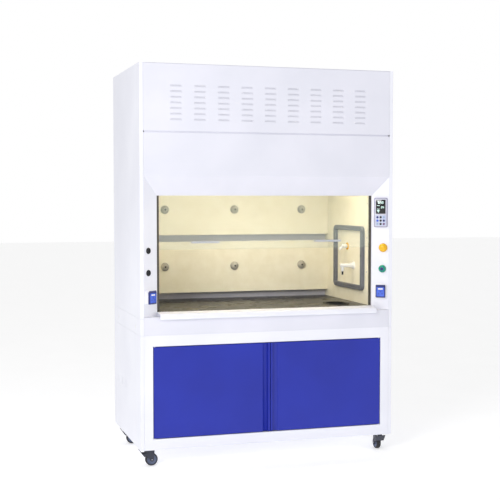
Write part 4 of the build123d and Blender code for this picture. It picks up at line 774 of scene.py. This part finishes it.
# Baffle knobs: modelled once and copied
def baffle_knobs():
    """Lobed thumb knobs with a domed nose and a black cap over the stud."""
    grip = turned("grip", [(26, 0), (26, 5.4), (25.2, 7), (22.4, 11.6), (17.6, 16), (11.6, 18.8),
                           (7.4, 19.5), (6.2, 19.5), (5.8, 18.4), (1, 18.4)], 72)
    flute(grip, 12, 0.93, 0, 8)
    cap = turned("cap", [(5.4, 18), (5.4, 19.6), (4.6, 20), (1, 20)], 24)
    knob = joined("knob", [dress(grip, knob_grey), dress(cap, black_abs)])
    knobs = []
    for height in (UPPER_KNOB_HEIGHT, LOWER_KNOB_HEIGHT):
        for x in (-KNOB_OFFSET, 0, KNOB_OFFSET):
            copy = twin(knob, "knob_copy")
            seat(copy, facing((0, -1, 0), (x * MM, at(BAFFLE_DEPTH), height * MM)))
            knobs.append(copy)
    bpy.data.objects.remove(knob)
    fit(joined("baffle_thumb_knobs", knobs), "cabinet", "baffle_knob_plastic", "baffle_knobs")


baffle_knobs()


# Controls on the posts
def gas_knob():
    """Domed yellow knob with a skirt and finger flutes."""
    knob = turned("gas_valve_knob", [(25, 0.3), (25, 2.6), (24, 3.8), (22.6, 4.6), (22.6, 14),
                                     (21.6, 17), (18.6, 20.2), (13, 22.8), (6, 23.9), (1, 24)], 96)
    flute(knob, 12, 0.93, 4.4, 15)
    seat(knob, on_post(1, *GAS_KNOB_SPOT))
    fit(dress(knob, yellow_abs), "gas_knob", "gas_knob_plastic", "gas_knob")


def water_knob():
    """Green knob with a lighter rim and a dark blue cap."""
    grip = turned("grip", [(22, 0.3), (22, 2.6), (21, 3.8), (19.8, 4.6), (19.8, 14), (18.8, 17),
                           (16, 19.6), (12.4, 20.6), (9.6, 20.6), (9.2, 19.6), (1, 19.6)], 96)
    flute(grip, 12, 0.92, 4.4, 15)
    ring = turned("ring", [(17, 18.6), (16.2, 20.2), (13, 21.2), (10.2, 21.2), (10, 20), (12, 18.6),
                           (17, 18.6)], 48)
    cap = turned("cap", [(9.4, 19), (9.4, 22.6), (8.4, 23.6), (1, 24)], 32)
    knob = joined("water_valve_knob", [dress(grip, teal_abs), dress(ring, mint_abs),
                                       dress(cap, navy_abs)])
    fit(seat(knob, on_post(1, *WATER_KNOB_SPOT)), "water_knob", "water_knob_plastic", "water_knob")


def plugs():
    """Black snap-in plugs on the left post and small white ones on the lower side bands."""
    dark = turned("dark", [(17, 0), (17, 1.4), (16, 2.6), (14.4, 3), (10, 3), (8.8, 2.4), (8.4, 1.4),
                           (1, 1.4)], 48)
    seated = [seat(twin(dark, "dark_copy"), on_post(-1, POST_PLUG_RUN, height))
              for height in POST_PLUG_HEIGHTS]
    bpy.data.objects.remove(dark)
    post_plugs = joined("post_plugs", seated)
    fit(dress(post_plugs, black_abs), "cabinet", "plug_plastic", "hole_plugs")
    pale = turned("pale", [(12, 0), (12, 0.6), (11, 1.3), (9.6, 1.5), (1, 1.5)], 36)
    seated = [seat(twin(pale, "pale_copy"), on_side(side, depth, SIDE_PLUG_HEIGHT))
              for side in (-1, 1) for depth in SIDE_PLUG_DEPTHS]
    bpy.data.objects.remove(pale)
    fit(dress(joined("side_plugs", seated), white_abs), "cabinet", "plug_plastic", "hole_plugs")


def socket(side, name):
    """Wall box with a raised socket face, hinge ears and a pin, and its lid's window and label strip."""
    place = on_post(side, *SOCKET_SPOT)
    box = dress(pad("box", 66, 74, 6, 0, 16, 2), white_abs)
    face = dress(pad("face", 56, 60, 4, 15.5, 18, 0.8, (0, -4)), white_abs)
    well = dress(turned("well", [(19, 17.9), (19, 18.2), (18, 18.2), (17, 17.95), (1, 17.95)], 48),
                 steel_blue_abs)
    seat(well, Matrix.Translation((0, -6 * MM, 0)))
    parts = [box, face, well]
    # The pin holes are flat black pads: painted shade where the holes go in.
    for x, y, width, tall in ((0, 3, 3.4, 8), (-7.5, -10, 6.6, 3.2), (7.5, -10, 6.6, 3.2)):
        parts.append(dress(pad("painted_shade_pin_hole", width, tall, 0.8, 17.9, 18.25, 0, (x, y)), black_abs))
    for end in (-1, 1):
        ear = pad("ear", 3, 7, 1, 17.5, 25, 0.8, (end * 29.8, HINGE_HEIGHT))
        parts.append(dress(ear, white_abs))
    pin = turned("pin", [(1.5, -30), (1.5, 30)], 16)
    seat(pin, Matrix.Translation((0, HINGE_HEIGHT * MM, 21.8 * MM)) @ Matrix.Rotation(math.pi / 2, 4, "Y"))
    parts.append(dress(pin, zinc_plate))
    body = joined(name + "_socket_box", parts)
    fit(seat(body, place), "cabinet", "socket_plastic", "socket_bodies")
    window = dress(pad("window", 45, 53, 4, 28, 28.5, 0.4, (0, -3)), blue_lid)
    strip = dress(pad("strip", 28, 7.5, 1.5, 28.2, 28.8, 0.3, (0, 14)), white_abs)
    lid = [window, strip]
    # Three dark blue dots on the lid's face: painted shade of the pin holes under the lid.
    for x, y in ((0, -2), (-10, -14), (10, -14)):
        dot = turned("dot", [(3.2, 28.2), (3.2, 28.6), (1, 28.6)], 20)
        lid.append(dress(seat(dot, Matrix.Translation((x * MM, y * MM, 0))), painted_hole_shade))
    cover = joined(name + "_lid_window", lid)
    fit(seat(cover, place), name + "_lid", "lid_plastic")


DIGIT_BARS = {"0": "abcdef", "2": "abged", "4": "fgbc", "5": "afgcd", "8": "abcdefg"}


def digit(value, x, y, tall):
    """Seven-segment digit out of thin bars."""
    wide, bar, half = tall * 0.5, tall * 0.12, tall / 4
    spots = {"a": (0, tall / 2), "g": (0, 0), "d": (0, -tall / 2), "f": (-wide / 2, half),
             "b": (wide / 2, half), "e": (-wide / 2, -half), "c": (wide / 2, -half)}
    bars = []
    for key in DIGIT_BARS[value]:
        dx, dy = spots[key]
        size = (wide, bar) if key in "agd" else (bar, tall / 2)
        bars.append(pad("bar", *size, 0, 8.2, 8.4, 0, (x + dx, y + dy)))
    return bars


def control_unit():
    """Rounded case, black display with lit digits, and a membrane with nine embossed keys."""
    parts = [dress(pad("case", 79, 170, 8, 0, 7.6, 1.6), lavender_abs),
             dress(pad("bezel", 69, 158, 5, 7.4, 8, 0.5), pale_lavender_abs),
             dress(pad("screen", 56, 81, 2, 7.8, 8.2, 0.3, (0, 33.5)), display_glass),
             dress(pad("film", 61, 62, 3, 7.8, 8.15, 0.2, (0, -46.5)), membrane_film)]
    bars = []
    for value, x, y in (("0", -12, 58), ("5", 2, 58), ("0", 12, 58), ("2", 6, 30), ("4", 15, 30),
                        ("8", -14, 8)):
        bars += digit(value, x, y, 11)
    bars.append(pad("bar", 2, 2, 0, 8.2, 8.4, 0, (-5, 53)))
    for y in (40, 20, 12):
        bars.append(pad("bar", 16, 1.6, 0, 8.2, 8.4, 0, (-14, y)))
    parts.append(dress(joined("bars", bars), lit_bars))
    finishes = ((navy_abs, black_abs, steel_blue_abs), (blue_lid, black_abs, navy_abs),
                (steel_blue_abs, black_abs, plum_film))
    for row, line in enumerate(finishes):
        for column, finish in enumerate(line):
            key = turned("key", [(6.8, 8.05), (6.6, 8.3), (5.6, 8.5), (1, 8.5)], 28)
            spot = ((column - 1) * 18.3 * MM, (-46.5 + (1 - row) * 19.4) * MM, 0)
            parts.append(dress(seat(key, Matrix.Translation(spot)), finish))
    unit = joined("control_unit", parts)
    fit(seat(unit, on_post(1, *CONTROL_SPOT)), "cabinet", "control_plastic", "control_panel")


gas_knob()
water_knob()
plugs()
socket(-1, "left")
socket(1, "right")
control_unit()


# Screws on the inner side panels' front edges
def liner_screws():
    """Small pan heads that hold each inner side panel."""
    head = turned("head", [(4.4, -0.5), (4.4, 1), (3.6, 1.9), (1.6, 2.1)], 20)
    seated = [seat(twin(head, "head_copy"), facing((-side, 0, 0),
                                                (side * LINER_INNER * MM, at(SCREW_DEPTH), height * MM)))
              for side in (-1, 1) for height in SCREW_HEIGHTS]
    bpy.data.objects.remove(head)
    fit(dress(joined("liner_screws", seated), zinc_plate), "cabinet", "zinc_steel")


liner_screws()


# Casters
def caster(corner, x, depth, turn):
    """Wheel with a polyurethane tyre on a dished hub; fork and pedal keep their pressed shape."""
    place = Matrix.Translation((x * MM, at(depth), 0)) @ Matrix.Rotation(math.radians(turn), 4, "Z")
    hub_spot = Matrix.Translation((WHEEL_TRAIL * MM, 0, WHEEL_RADIUS * MM))
    axle = hub_spot @ Matrix.Rotation(math.pi / 2, 4, "X")
    tyre = turned("tyre", [(27, -13), (30, -13.2), (33.4, -11), (35, -6), (35, 6), (33.4, 11),
                           (30, 13.2), (27, 13), (27, -13)], 56)
    hub = turned("hub", [(27.4, -12.4), (26, -12.4), (24, -7), (12.4, -6), (10.4, -14.6), (4.1, -15),
                         (4.1, 15), (10.4, 14.6), (12.4, 6), (24, 7), (26, 12.4), (27.4, 12.4),
                         (27.4, -12.4)], 48)
    wheel = joined(corner + "_wheel", [dress(tyre, black_tyre), dress(hub, slate_polypropylene)])
    fit(seat(wheel, place @ axle), corner + "_wheel", "caster_tyre", corner + "_caster_wheel")
    finish_solid(corner + "_caster_fork", graphite_coat, 0.5 * MM)
    finish_solid(corner + "_brake_pedal", graphite_coat, 0.6 * MM)
    caps = []
    for side in (-1, 1):
        cap = turned("cap", [(6.4, 17.8), (6.4, 20.6), (5.4, 21.8), (1, 22.1)], 28)
        seat(cap, axle @ Matrix.Rotation(math.pi * (side > 0), 4, "X"))
        caps.append(dress(cap, bright_steel))
    fit(seat(joined(corner + "_axle_caps", caps), place), corner + "_fork", "zinc_steel")


for row, depth in zip(("front", "rear"), CASTER_DEPTHS):
    caster(row + "_left", -CASTER_OFFSET, depth, 0)
    caster(row + "_right", CASTER_OFFSET, depth, 90 if row == "front" else 0)


# Studio: a pale floor and large soft lights. Places and sizes are in metres, powers in watts.
FLOOR_SIZE = 60
SURROUND_STRENGTH = 0.62
BACKDROP_STRENGTH = 1.0
FLOOR_GLOW = 0.33
KEY_PLACE, KEY_AIM, KEY_SIZE, KEY_POWER = (-3.0, -3.6, 2.6), (0, 0, 1.1), 1.6, 80
FILL_PLACE, FILL_AIM, FILL_SIZE, FILL_POWER = (3.6, -4.5, 2.2), (0, 0, 1.0), 2.5, 8


def soft_light(name, place, aim, size, power):
    """Large square lamp that faces a point."""
    data = bpy.data.lights.new(name, "AREA")
    data.shape = "SQUARE"
    data.size = size
    data.energy = power
    lamp = bpy.data.objects.new(name, data)
    lamp.location = place
    lamp.rotation_euler = (Vector(aim) - Vector(place)).to_track_quat("-Z", "Y").to_euler()
    lamp.visible_camera = False
    bpy.context.scene.collection.objects.link(lamp)
    return lamp


def studio():
    """Pale floor, even surroundings, a key light from the left and a weak fill from the right."""
    rest_hands()
    bpy.ops.mesh.primitive_plane_add(size=FLOOR_SIZE)
    floor = named("studio_floor")
    material, shader = surface("pale_floor", Roughness=0.7, Specular_IOR_Level=0.2,
                               Emission_Color=colour("#FFFFFF"), Emission_Strength=FLOOR_GLOW)
    speck = grain(material, 400 * MM, 2)
    feed(material, shader,
         Base_Color=shades(material, speck.outputs["Fac"], [(0.3, "#FAFAFA"), (0.7, "#FDFDFD")]))
    dress(floor, material)
    world = bpy.data.worlds.new("surroundings")
    world.use_nodes = True
    nodes, links = world.node_tree.nodes, world.node_tree.links
    around = nodes["Background"]
    around.inputs["Color"].default_value = colour("#FFFFFF")
    around.inputs["Strength"].default_value = SURROUND_STRENGTH
    backdrop = nodes.new("ShaderNodeBackground")
    backdrop.inputs["Color"].default_value = colour("#FFFFFF")
    backdrop.inputs["Strength"].default_value = BACKDROP_STRENGTH
    path, mix = nodes.new("ShaderNodeLightPath"), nodes.new("ShaderNodeMixShader")
    links.new(path.outputs["Is Camera Ray"], mix.inputs["Fac"])
    links.new(around.outputs["Background"], mix.inputs[1])
    links.new(backdrop.outputs["Background"], mix.inputs[2])
    links.new(mix.outputs["Shader"], nodes["World Output"].inputs["Surface"])
    bpy.context.scene.world = world
    soft_light("key_light", KEY_PLACE, KEY_AIM, KEY_SIZE, KEY_POWER)
    soft_light("fill_light", FILL_PLACE, FILL_AIM, FILL_SIZE, FILL_POWER)
    bpy.context.scene.view_settings.view_transform = "Standard"


studio()
